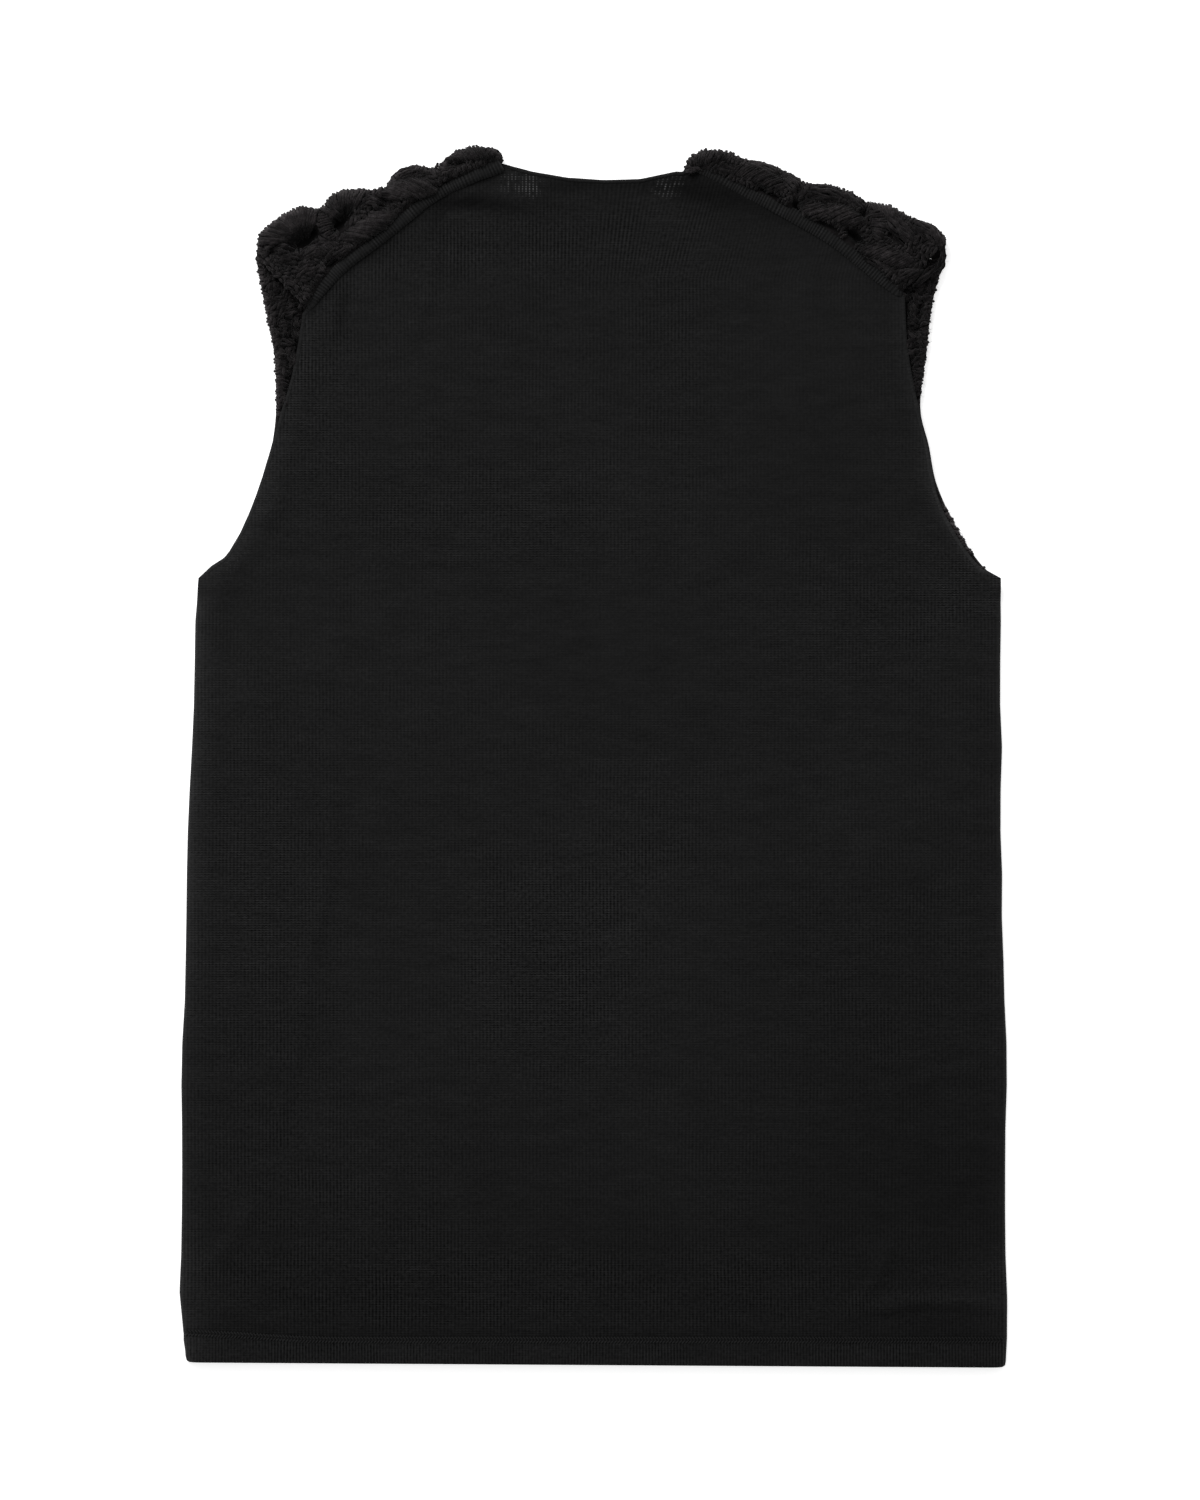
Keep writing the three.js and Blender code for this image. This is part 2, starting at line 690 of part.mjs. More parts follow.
/** Crochet turned over a shoulder: a U-shaped wall, its long upper leg raised in puffs. */
function shoulderYoke({ side, fold, seam, underSeam, puffs }) {
  const foldCurve = curveThrough(fold);
  const [neckEnd, tipEnd] = underSeam.map(({ x, y }) => new THREE.Vector3(x, y, 0));
  const clear = SEAM_RIDGE.halfWide + SEAM_GAP;
  const rings = [];
  const sections = [];
  for (const t of evenSteps(0, 1, YOKE.stations)) {
    const edge = foldCurve.getPointAt(t);
    const seamPoint = seam.getPointAt(t).addScaledVector(outwardAt(seam, t), clear);
    const under = new THREE.Vector3().lerpVectors(neckEnd, tipEnd, t);
    const upper = seamPoint.clone().sub(edge);
    const lower = under.clone().sub(edge);
    const [wide, deep] = [upper.length(), lower.length()];
    const foldWide = Math.min(YOKE.foldWide, YOKE.foldShare * wide);
    const slit = Math.min(YOKE.slitInset, wide - YOKE.slitWall);
    const bulge = YOKE.armholeBulge * smoothstep(t, YOKE.bulgeFrom, 1);
    const ring = [];
    const section = [];
    const add = (distance, z, upperShare) => {
      const way = lower.clone().normalize().lerp(upper.clone().normalize(), upperShare).normalize();
      const point = edge.clone().addScaledVector(way, distance);
      const bow = bulge * upperShare * Math.sin((Math.PI * Math.min(distance, wide)) / wide);
      point.addScaledVector(new THREE.Vector3(-way.y, way.x, 0), -side * bow);
      ring.push(point.setZ(z));
      section.push(new THREE.Vector2(distance, z));
    };
    const relief = (distance) => {
      const point = edge.clone().addScaledVector(upper, distance / wide);
      const fade = smoothstep(wide - distance, 0, YOKE.edgeRound);
      return fade * puffRelief(puffs, point.x, point.y);
    };
    for (let k = 0; k <= YOKE.upperSteps; k++) {
      const distance = lerp(wide, foldWide, k / YOKE.upperSteps);
      const drop = YOKE.edgeDrop * Math.exp(-(((wide - distance) / YOKE.edgeRound) ** 2));
      add(distance, YOKE.top - drop + relief(distance), 1);
    }
    for (const angle of FOLD_ANGLES) {
      const distance = foldWide * (1 - Math.cos(angle));
      const rise = Math.max(0, Math.sin(angle)) * relief(foldWide);
      const round = (YOKE.foldHigh / 2) * (1 + Math.sin(angle));
      add(distance, round + rise, (1 + Math.sin(angle)) / 2);
    }
    add(deep, 0, 0);
    add(deep, YOKE.slitBottom, 0);
    add(slit + YOKE.slitStep, YOKE.slitBottom, 0);
    add(slit, (YOKE.slitBottom + YOKE.slitTop) / 2, 0.5);
    add(slit + YOKE.slitStep, YOKE.slitTop, 1);
    add((slit + wide) / 2, YOKE.slitTop + YOKE.slitArch, 1);
    add(wide, YOKE.slitTop, 1);
    rings.push(ring);
    sections.push(section);
  }
  return loftGeometry(rings, sections[0], sections.at(-1), side > 0);
}

/** Raised seam between the jersey and the turned-over crochet. */
function shoulderBinding(side, seam) {
  const { halfWide, bottom, top, stations } = SEAM_RIDGE;
  const high = top - bottom;
  const section = [
    { across: 0.8, up: 0 },
    { across: 1, up: 0.25 },
    { across: 0.86, up: 0.68 },
    { across: 0.45, up: 0.93 },
    { across: 0, up: 1 },
    { across: -0.45, up: 0.93 },
    { across: -0.86, up: 0.68 },
    { across: -1, up: 0.25 },
    { across: -0.8, up: 0 },
  ].map(({ across, up }) => new THREE.Vector2(across * halfWide, bottom + up * high));
  const rings = evenSteps(0, 1, stations).map((t) => {
    const [centre, out] = [seam.getPointAt(t), outwardAt(seam, t)];
    return section.map((p) => centre.clone().addScaledVector(out, p.x).setZ(p.y));
  });
  return loftGeometry(rings, section, section, side < 0);
}

// ---------------------------------------------------------------- the vest

const vest = new THREE.Group();

function addPiece(name, geometry, look) {
  const mesh = new THREE.Mesh(geometry, new THREE.MeshStandardMaterial(look));
  mesh.name = name;
  vest.add(mesh);
}

addPiece('front_panel', await cutAway(slabGeometry(frontPanelRows()), neckScoop()), CROCHET);
addPiece('back_panel', backPanel(), JERSEY);
addPiece('back_hem_band', backHemBand(), JERSEY);
addPiece('neck_trim', neckTrim(), JERSEY);
addPiece('armhole_binding_left', armholeBinding(-1), JERSEY);
addPiece('armhole_binding_right', armholeBinding(1), JERSEY);
addPiece('shoulder_binding_left', shoulderBinding(-1, seamLeft), JERSEY);
addPiece('shoulder_binding_right', shoulderBinding(1, seamRight), JERSEY);
addPiece(
  'shoulder_yoke_left',
  shoulderYoke({
    side: -1, fold: FOLD_LEFT, seam: seamLeft, underSeam: UNDER_SEAM_LEFT, puffs: PUFFS_LEFT,
  }),
  CROCHET,
);
addPiece(
  'shoulder_yoke_right',
  shoulderYoke({
    side: 1, fold: FOLD_RIGHT, seam: seamRight, underSeam: UNDER_SEAM_RIGHT, puffs: PUFFS_RIGHT,
  }),
  CROCHET,
);

export default vest;
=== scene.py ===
import math

import bpy
import numpy as np
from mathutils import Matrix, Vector
from bpy.props import FloatProperty, FloatVectorProperty, IntProperty, PointerProperty


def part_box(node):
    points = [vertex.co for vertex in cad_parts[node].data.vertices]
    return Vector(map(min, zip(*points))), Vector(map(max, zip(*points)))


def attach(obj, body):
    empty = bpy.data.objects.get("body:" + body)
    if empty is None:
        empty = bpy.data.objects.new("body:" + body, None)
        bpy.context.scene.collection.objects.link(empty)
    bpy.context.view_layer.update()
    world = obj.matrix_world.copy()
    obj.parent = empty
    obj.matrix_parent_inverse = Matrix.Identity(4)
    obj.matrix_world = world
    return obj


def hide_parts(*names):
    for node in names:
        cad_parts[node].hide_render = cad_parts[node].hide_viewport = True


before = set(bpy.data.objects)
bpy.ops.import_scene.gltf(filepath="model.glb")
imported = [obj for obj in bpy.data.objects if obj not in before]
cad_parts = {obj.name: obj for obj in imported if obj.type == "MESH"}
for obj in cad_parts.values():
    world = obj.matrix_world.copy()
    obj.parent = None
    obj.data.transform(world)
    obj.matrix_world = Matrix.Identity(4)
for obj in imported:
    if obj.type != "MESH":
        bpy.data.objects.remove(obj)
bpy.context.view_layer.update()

bl_info = {
    "name": "Knitted vest with crochet shoulders",
    "version": (1, 0, 0),
    "blender": (4, 5, 0),
    "location": "View3D > Sidebar > Vest",
    "description": "Dresses the solids of a laid vest in fine jersey and chunky crochet",
    "category": "Object",
}

MM = 0.001
BODY = "root"
TURN = 2 * math.pi


# ------------------------------------------------------------------ settings

def length_setting(name, description, default):
    return FloatProperty(name=name, description=description, default=default, unit="LENGTH", precision=5)


def colour_setting(description, default):
    return FloatVectorProperty(
        name="Colour", description=description, default=default, subtype="COLOR", size=3, min=0, max=1)


class VestJerseySettings(bpy.types.PropertyGroup):
    wale: length_setting("Wale pitch", "Width of one knit column", 2.08 * MM)
    course: length_setting("Course pitch", "Height of one knit row", 1.42 * MM)
    rib: length_setting("Rib pitch", "Spacing of the ribs across the shoulder seams", 1.85 * MM)
    thickness: length_setting("Thickness", "Thickness of the jersey", 1.0 * MM)
    roll: length_setting("Side roll", "Width over which each side turns down to its seam", 7.5 * MM)
    underarm: length_setting("Underarm", "Height of the underarm above the outline's middle", 105 * MM)
    mesh_step: length_setting("Mesh step", "Spacing of the points of the cloth", 3.0 * MM)
    colour: colour_setting("Colour of the fine black yarn", (0.0079, 0.0079, 0.0080))


class VestCrochetSettings(bpy.types.PropertyGroup):
    colour: colour_setting("Colour of the chunky black yarn", (0.0098, 0.0087, 0.0090))
    mesh_step: length_setting("Mesh step", "Spacing of the points of the crochet front", 3.7 * MM)
    seed: IntProperty(name="Seed", description="Seed of the yarn's unevenness", default=7)


class VestStageSettings(bpy.types.PropertyGroup):
    camera_height: length_setting("Camera height", "Height of the camera above the floor", 4.0)
    view_height: length_setting("View height", "Length of floor in the picture, top to bottom", 0.879)
    view_centre: FloatVectorProperty(
        name="View centre", description="Point of the floor below the camera",
        size=2, default=(0.0029, 0.0044), unit="LENGTH")
    floor_glow: FloatProperty(
        name="Floor glow", description="Light that comes through the white table", default=0.55, min=0)
    world_light: FloatProperty(
        name="Sky light", description="Strength of the even white light all round", default=0.6, min=0)
    lamp_power: FloatProperty(
        name="Lamp power", description="Power of the soft lamp above the table", default=45.0,
        unit="POWER")


# ------------------------------------------------------------------ outlines of the solids, in mm

def solid_edges(name):
    """Both ends of every mesh edge of a CAD node, in mm."""
    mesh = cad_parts[name].data
    points = np.empty(len(mesh.vertices) * 3)
    mesh.vertices.foreach_get("co", points)
    ends = np.empty(len(mesh.edges) * 2, np.int64)
    mesh.edges.foreach_get("vertices", ends)
    both = points.reshape(-1, 3)[ends.reshape(-1, 2)] / MM
    return both[:, 0], both[:, 1]


def cut_solid(name, axis, stations):
    """Lowest and highest place of a node in plan, where it is cut at each station of an axis.

    Each edge that spans a station crosses it at a place found by proportion along the edge.
    """
    a, b = solid_edges(name)
    run = b[:, axis] - a[:, axis]
    run = np.where(np.abs(run) < 1e-9, 1e-9, run)
    share = (stations[:, None] - a[None, :, axis]) / run[None]
    place = a[None, :, 1 - axis] + share * (b - a)[None, :, 1 - axis]
    spans = (share >= 0) & (share <= 1)
    low = np.where(spans, place, np.inf).min(1)
    high = np.where(spans, place, -np.inf).max(1)
    return low, high


def box_mm(name):
    low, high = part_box(name)
    return np.array(low) / MM, np.array(high) / MM


def resample(line, shares):
    """Points of a polyline at shares of its length."""
    steps = np.linalg.norm(np.diff(line, axis=0), axis=1)
    length = np.concatenate([[0], np.cumsum(steps)])
    at = np.asarray(shares) * length[-1]
    return np.stack([np.interp(at, length, line[:, k]) for k in range(line.shape[1])], -1)


def evenly(line, count):
    """A number of points at even steps of a polyline's length."""
    return resample(line, np.linspace(0, 1, count))


def side_line(name, side, low, corner, high, body_share, vs):
    """Side edge of a panel at shares vs: even heights up to the underarm, then even steps of length."""
    def trace(y0, y1, count):
        ys = np.linspace(y0, y1, count)
        xs = cut_solid(name, 1, ys)[0 if side < 0 else 1]
        return np.stack([xs, ys], -1)
    body = trace(low, corner, 300)
    armhole = trace(corner, high, 500)
    in_body = resample(body, np.clip(vs / body_share, 0, 1))
    in_armhole = resample(armhole, np.clip((vs - body_share) / (1 - body_share), 0, 1))
    return np.where((vs <= body_share)[:, None], in_body, in_armhole)


def shares_with(step, length, extra=()):
    """Even shares of a length, with some exact shares kept among them."""
    shares = np.linspace(0, 1, max(int(round(length / step)), 2) + 1)
    for value in extra:
        shares[np.abs(shares - value).argmin()] = value
    return shares


def edge_shares(width, step, near):
    """Shares across a panel, spaced as on a quarter circle near each edge, and evenly between."""
    bend = near * (1 - np.cos(np.linspace(0, math.pi / 2, 9)[:-1]))
    middle = np.linspace(near, width - near, int(round((width - 2 * near) / step)) + 1)
    return np.concatenate([bend, middle, width - bend[::-1]]) / width


def laid_plan(node, step, near, inset, body_share, corner, tops, stations, by_length):
    """Plan of a laid panel, rows by columns, in mm, and its shares across and up.

    Straight rows run between the side edges of the solid, which end at the two heights in tops.
    From a share of the height on, the rows are drawn up, more and more, to follow the solid's top
    edge, which is spaced by its length or by its x.
    """
    lift_from = 0.72
    low, high = box_mm(node)
    us = edge_shares(high[0] - low[0], step, near)
    vs = shares_with(step, high[1] - low[1], [body_share])
    left, right = (
        side_line(node, side, low[1] + inset, corner, top, body_share, vs)
        for side, top in zip((-1, 1), tops))
    xs = np.linspace(left[-1, 0] + inset, right[-1, 0] - inset, stations)
    crown = together(xs, cut_solid(node, 0, xs)[1])
    crown[0], crown[-1] = left[-1], right[-1]
    level = arc_length(crown) if by_length else np.linspace(0, 1, stations)
    top = together(*(np.interp(us * level[-1], level, crown[:, k]) for k in (0, 1)))
    u, v = us[None, :, None], vs[:, None, None]
    straight = top[0] + u * (top[-1] - top[0])
    lift = np.clip((v - lift_from) / (1 - lift_from), 0, 1) ** 1.6
    return (1 - u) * left[:, None] + u * right[:, None] + lift * (top[None] - straight), us, vs


# ------------------------------------------------------------------ meshes

def smooth(value, low, high):
    """Smooth step from 0 at low to 1 at high."""
    t = np.clip((value - low) / (high - low), 0, 1)
    return t * t * (3 - 2 * t)


def bell(distance, width):
    """exp(-(distance / width)^2)."""
    return np.exp(-(distance / width) ** 2)


def quarter(share):
    """Quarter circle that rises from 0 at share 0 to 1 at share 1, and stays there."""
    return np.sqrt(1 - (1 - np.clip(share, 0, 1)) ** 2)


def together(*parts):
    """Points from arrays of their coordinates, or of angles and such, whose shapes fit each other."""
    return np.stack(np.broadcast_arrays(*parts), -1)


def raised(plan, z):
    """Points from places in plan and their heights."""
    return np.concatenate([plan, z[..., None]], -1)


def left_of(step):
    """The direction in plan a quarter turn to the left of each step."""
    return together(-step[..., 1], step[..., 0])


def grid_faces(rows, columns, wrap=False):
    """Quads of a grid of points, counter-clockwise where rows run up and columns run right."""
    row, column = np.meshgrid(
        np.arange(rows - 1), np.arange(columns if wrap else columns - 1), indexing="ij")
    after = (column + 1) % columns
    return np.stack(
        [row * columns + column, row * columns + after,
         (row + 1) * columns + after, (row + 1) * columns + column], -1).reshape(-1, 4)


def swept_faces(rows, columns):
    """Quads of a closed profile carried along a path, and a cap at each end."""
    caps = np.stack([np.arange(columns), (rows - 1) * columns + np.arange(columns)[::-1]])
    return grid_faces(rows, columns, wrap=True)[:, ::-1], caps


def make_object(name, points, faces, material, uv, shade, node):
    """A smooth mesh object that takes the place of a CAD node, from points in mm, of any grid shape.

    faces is an array, or several arrays that each have their own number of corners. uv is one
    place in m per point, or one array per face array with a place per corner. shade holds named
    numbers for each point, which the material reads.
    """
    points = points.reshape(-1, 3)
    faces = faces if isinstance(faces, tuple) else (faces,)
    corners = np.concatenate([f.ravel() for f in faces])
    sizes = np.concatenate([np.full(len(f), f.shape[1]) for f in faces])
    mesh = bpy.data.meshes.new(name)
    mesh.vertices.add(len(points))
    mesh.vertices.foreach_set("co", (points * MM).ravel())
    mesh.loops.add(len(corners))
    mesh.loops.foreach_set("vertex_index", corners.astype(np.int32))
    mesh.polygons.add(len(sizes))
    mesh.polygons.foreach_set("loop_start", np.concatenate([[0], np.cumsum(sizes)[:-1]]).astype(np.int32))
    mesh.polygons.foreach_set("use_smooth", np.ones(len(sizes), bool))
    if uv is not None:
        if isinstance(uv, tuple):
            places = np.concatenate([u.reshape(-1, 2) for u in uv])
        else:
            places = uv.reshape(-1, 2)[corners]
        mesh.uv_layers.new(name="UVMap").data.foreach_set("uv", places.astype(np.float32).ravel())
    for key, values in shade.items():
        data = mesh.attributes.new(key, "FLOAT", "POINT").data
        data.foreach_set("value", np.ravel(values).astype(np.float32))
    mesh.update(calc_edges=True)
    mesh.validate()
    mesh.materials.append(material)
    piece = bpy.data.objects.new(name, mesh)
    bpy.context.scene.collection.objects.link(piece)
    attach(piece, BODY)
    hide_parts(node)
    return piece


def thicken(piece, thickness, offset=-1.0):
    wall = piece.modifiers.new("Thickness", "SOLIDIFY")
    wall.thickness = thickness
    wall.offset = offset
    wall.use_even_offset = False


def arc_length(path):
    return np.concatenate([[0], np.cumsum(np.linalg.norm(np.diff(path, axis=0), axis=1))])


def unit(vectors):
    return vectors / np.maximum(np.linalg.norm(vectors, axis=-1, keepdims=True), 1e-9)


def sweep(path, profile):
    """Points of a profile carried along a path. profile is stations by points by (side, up).

    At each station the side direction is level, and up is square to it and to the path.
    """
    tangent = unit(np.gradient(path, axis=0))
    side = unit(np.cross(tangent, (0, 0, 1)))
    up = np.cross(side, tangent)
    return path[:, None] + profile[..., :1] * side[:, None] + profile[..., 1:] * up[:, None]


def rounded_ends(run, reach):
    """Factor on a profile that closes it within a reach of both ends of its path."""
    return np.sqrt(np.clip(np.minimum(run, run[-1] - run) / reach, 0.02, 1))[:, None]


def tubes(paths, radii, across, sides):
    """Round strands, all with the same number of stations.

    paths is strands by stations by 3, radii is strands by stations, and across holds one direction
    for each strand that the strand never runs along. A ring at a station is
    path + radius * (cos a * side + sin a * up), with side and up square to the strand.
    Gives points, faces (quads and end caps) and UV places: mm along the strand, share round it.
    """
    count, stations = radii.shape
    along = unit(np.gradient(paths, axis=1))
    across = np.broadcast_to(across[:, None], along.shape)
    side = unit(across - (across * along).sum(-1, keepdims=True) * along)
    up = np.cross(side, along)
    angle = np.arange(sides) * 2 * math.pi / sides
    ring = (paths[:, :, None] + radii[..., None, None] * (
        np.cos(angle)[:, None] * side[:, :, None] + np.sin(angle)[:, None] * up[:, :, None]))
    quads, caps = swept_faces(stations, sides)
    first = np.arange(count)[:, None, None] * stations * sides
    run = np.concatenate([np.zeros((count, 1)), np.cumsum(
        np.linalg.norm(np.diff(paths, axis=1), axis=2), axis=1)], 1)
    row, column = np.divmod(quads, sides)
    wrapped = np.where((column == 0) & (column.max(1, keepdims=True) == sides - 1), sides, column)
    quad_uv = together(run[:, row] * MM, wrapped / sides)
    cap_uv = together(run[:, [[0] * sides, [stations - 1] * sides]] * MM, 0.0)
    faces = (first + quads).reshape(-1, 4), (first + caps).reshape(-1, sides)
    return ring.reshape(-1, 3), faces, (quad_uv, cap_uv)


def join(parts):
    """One set of points, faces and UV places from several."""
    shift = np.cumsum([0] + [len(points) for points, _, _ in parts])
    points = np.concatenate([points for points, _, _ in parts])
    faces = tuple(f + n for (_, group, _), n in zip(parts, shift) for f in group)
    uv = tuple(u for _, _, group in parts for u in group)
    return points, faces, uv


def distance_to(places, line):
    """Distance of each place from a polyline in plan."""
    start, step = line[:-1], np.diff(line, axis=0)
    flat = places.reshape(-1, 1, 2)
    share = ((flat - start) * step).sum(-1) / np.maximum((step ** 2).sum(-1), 1e-9)
    nearest = start + np.clip(share, 0, 1)[..., None] * step
    return np.linalg.norm(flat - nearest, axis=-1).min(1).reshape(places.shape[:-1])


def curve_through(knots, shares):
    """Quadratic curve through three points, at shares from 0 to 1. knots is strands by 3 by n."""
    t = np.asarray(shares)[:, None]
    start, middle, end = (knots[..., k, None, :] for k in range(3))
    control = 2 * middle - (start + end) / 2
    return (1 - t) ** 2 * start + 2 * t * (1 - t) * control + t ** 2 * end


# ------------------------------------------------------------------ materials

class Signal:
    """One output of a material's node tree. Arithmetic on signals adds Math nodes to the tree."""

    def __init__(self, sheet, socket):
        self.sheet, self.socket = sheet, socket

    def __add__(self, other):
        return self.sheet.math("ADD", self, other)

    def __radd__(self, other):
        return self.sheet.math("ADD", other, self)

    def __sub__(self, other):
        return self.sheet.math("SUBTRACT", self, other)

    def __rsub__(self, other):
        return self.sheet.math("SUBTRACT", other, self)

    def __mul__(self, other):
        return self.sheet.math("MULTIPLY", self, other)

    def __truediv__(self, other):
        return self.sheet.math("DIVIDE", self, other)

    def __pow__(self, other):
        return self.sheet.math("POWER", self, other)

    def range(self, low, high, to_low, to_high):
        """The signal with low to high mapped to another range, and clamped to it."""
        return self.sheet.add("MapRange", {
            "Value": self, "From Min": low, "From Max": high, "To Min": to_low, "To Max": to_high})


class NodeSheet:
    """Short-hand for one material's node tree."""

    def __init__(self, name):
        self.material = bpy.data.materials.new(name)
        self.material.use_nodes = True
        self.tree = self.material.node_tree
        self.tree.nodes.clear()
        out = self.tree.nodes.new("ShaderNodeOutputMaterial")
        self.shader = self.tree.nodes.new("ShaderNodeBsdfPrincipled")
        self.tree.links.new(self.shader.outputs[0], out.inputs["Surface"])

    def feed(self, inputs, sources):
        """Links signals to a node's inputs, and sets the inputs that are given numbers."""
        for key, source in sources.items():
            if isinstance(source, Signal):
                self.tree.links.new(source.socket, inputs[key])
            else:
                inputs[key].default_value = source

    def add(self, kind, sources=None, output=0, **settings):
        """A new node with its settings and inputs, as the signal of one of its outputs."""
        node = self.tree.nodes.new("ShaderNode" + kind)
        for key, value in settings.items():
            setattr(node, key, value)
        self.feed(node.inputs, sources or {})
        return Signal(self, node.outputs[output])

    def math(self, kind, *sources):
        return self.add("Math", dict(enumerate(sources)), operation=kind)

    def wave(self, kind, angle):
        """Sine or cosine of an angle, moved into 0 to 1."""
        return self.math(kind, angle).range(-1.0, 1.0, 0.0, 1.0)

    def noise(self, vector, scale, detail=2.0, roughness=0.5):
        return self.add("TexNoise", {
            "Vector": vector, "Scale": scale, "Detail": detail, "Roughness": roughness}, "Fac")

    def uv(self):
        """UV places in m, as a vector and as its two parts."""
        places = self.add("UVMap", uv_map="UVMap")
        first = self.add("SeparateXYZ", {0: places})
        return places, first, Signal(self, first.socket.node.outputs[1])

    def attribute(self, name):
        return self.add("Attribute", output="Fac", attribute_name=name)

    def stretched(self, vector, factor):
        """Places with their second part multiplied."""
        return self.add("VectorMath", {0: vector, 1: (1.0, factor, 1.0)}, operation="MULTIPLY")

    def place(self):
        return self.add("TexCoord", output="Object")

    def bump(self, height, distance, strength, below=None):
        """Bump of a height in shares of a distance, on top of another bump where one is given."""
        sources = {"Strength": strength, "Distance": distance, "Height": height}
        if below is not None:
            sources["Normal"] = below
        return self.add("Bump", sources)

    def finish(self, colour, tone, normal, roughness, specular, sheen):
        """The material, whose colour is one colour times a varying tone."""
        shaded = self.add("VectorMath", {0: colour, "Scale": tone}, operation="SCALE")
        self.feed(self.shader.inputs, {
            "Base Color": shaded, "Normal": normal, "Roughness": roughness,
            "Specular IOR Level": specular, "Sheen Weight": sheen, "Sheen Roughness": 0.5})
        return self.material


def knit_height(sheet, u, v, wale, course):
    """Height of a plain knit face: each wale is a column of Vs, whose two legs lean together.

    Across a wale the height is 0.5 + 0.5 cos(2 pi a). Along it each leg repeats once a course, and
    its phase grows with the distance from the middle, which makes the V.
    """
    angle = u / wale * TURN
    slant = sheet.math("ABSOLUTE", sheet.math("SINE", angle * 0.5)) * 0.22
    return sheet.wave("COSINE", angle), sheet.wave("COSINE", (v / course - slant) * TURN)


def jersey_material(settings):
    """Fine black jersey: columns of knit Vs that blur and sharpen, faint rows, streaks, painted light
    dots.
    """
    sheet = NodeSheet("fine_black_jersey")
    uv, u, v = sheet.uv()
    u = u + (sheet.noise(uv, 9.0, 3.0) - 0.5) * (3.0 * MM)
    column, leg = knit_height(sheet, u, v, settings.wale, settings.course)
    clear = sheet.attribute("clear")
    trade = sheet.noise(uv, 7.0, 2.0).range(0.38, 0.62, 1.25, 0.75)
    turned = sheet.attribute("rows") * trade
    dash = sheet.noise(sheet.stretched(uv, 2.2), 330.0, 1.0).range(0.35, 0.65, 0.5, 1.7)
    wales_clear = sheet.noise(uv, 45.0, 3.0).range(0.35, 0.65, 0.2, 0.75) * (1.7 - turned * 0.7)
    rows_clear = sheet.noise(sheet.stretched(uv, 2.5), 90.0, 3.0).range(0.35, 0.65, 0.1, 1.15)
    rows_clear = rows_clear * turned * dash
    knit = clear * ((column - 0.5) * wales_clear + (leg - 0.4) * rows_clear)
    streak = sheet.noise(sheet.stretched(uv, 3.2), 40.0, 5.0, 0.68)
    patch = sheet.noise(uv, 9.0, 4.0, 0.6)
    fuzz = (sheet.noise(uv, 520.0, 2.0, 0.6) - 0.5) * (0.5 + clear * 1.4)
    tone = 1.0 + fuzz + knit * 1.1
    tone = tone * streak.range(0.3, 0.7, 0.82, 1.18) * patch.range(0.3, 0.7, 0.93, 1.07)
    tone = tone * sheet.attribute("shade")
    # Painted light: in the thin patches the holes between the wales are lighter, as the floor seen
    # through.
    hole = (1.0 - column) ** 3.5 * leg ** 0.9
    uneven = sheet.noise(uv, 260.0, 2.0).range(0.4, 0.6, 0.1, 1.0)
    tone = tone + hole * sheet.attribute("sheer_painted_light") * uneven * 13.0
    normal = sheet.bump(0.5 + knit, 0.45 * MM, 0.5, sheet.bump(streak, 1.2 * MM, 0.35))
    return sheet.finish(settings.colour, tone, normal, 0.9, 0.04, 0.03)


def rib_material(settings, name, pitch, contrast, level=1.1):
    """Black rib of the seams and edges: ribs across the band, with faint rows along it."""
    sheet = NodeSheet(name)
    uv, u, v = sheet.uv()
    rib = sheet.wave("COSINE", u * (TURN / pitch))
    loop = sheet.wave("COSINE", v * (TURN / settings.course))
    height = rib * 0.8 + loop * 0.2
    patch = sheet.noise(uv, 200.0, 4.0, 0.7).range(0.3, 0.7, 0.72, 1.28)
    clear = sheet.noise(uv, 140.0, 3.0).range(0.35, 0.65, 0.1, 1.1)
    tone = (level + (height - 0.5) * (clear * (2 * contrast))) * patch * sheet.attribute("shade")
    normal = sheet.bump(height, 0.3 * MM, 0.7 * contrast)
    return sheet.finish(settings.colour, tone, normal, 0.9, 0.04, 0.03)


def yarn_material(settings):
    """Chunky black yarn: loosely twisted plies under a fuzz of fibres, lighter and darker in turn."""
    sheet = NodeSheet("chunky_black_yarn")
    _, u, v = sheet.uv()
    place = sheet.place()
    ply = sheet.wave("SINE", u * (TURN / (5.2 * MM)) + v * (2 * TURN))
    fibre = sheet.noise(place, 1300.0, 4.0, 0.7)
    clump = sheet.noise(place, 340.0, 3.0, 0.6)
    patch = sheet.noise(place, 75.0, 2.0, 0.5)
    tone = fibre.range(0.35, 0.65, 0.5, 1.45) * clump.range(0.36, 0.64, 0.6, 1.4)
    tone = tone * patch.range(0.35, 0.65, 0.65, 1.3) * sheet.attribute("shade")
    normal = sheet.bump(ply * 0.2 + fibre * 0.8, 1.0 * MM, 0.8, sheet.bump(clump, 1.2 * MM, 0.6))
    return sheet.finish(settings.colour, tone, normal, 0.95, 0.03, 0.05)


def crochet_material(settings):
    """The crochet below its raised strands: small uneven loops, with painted shade in the pockets."""
    sheet = NodeSheet("black_crochet_ground")
    place = sheet.place()
    cells = sheet.add("TexVoronoi", {"Vector": place, "Scale": 230.0}, "Distance")
    height = (1.0 - cells) * 0.6 + sheet.noise(place, 1100.0, 4.0, 0.7) * 0.4
    tone = height.range(0.3, 0.9, 0.4, 1.25) * sheet.attribute("shade")
    normal = sheet.bump(height, 1.2 * MM, 0.9)
    return sheet.finish(settings.colour, tone, normal, 0.95, 0.03, 0.04)


# ------------------------------------------------------------------ jersey back

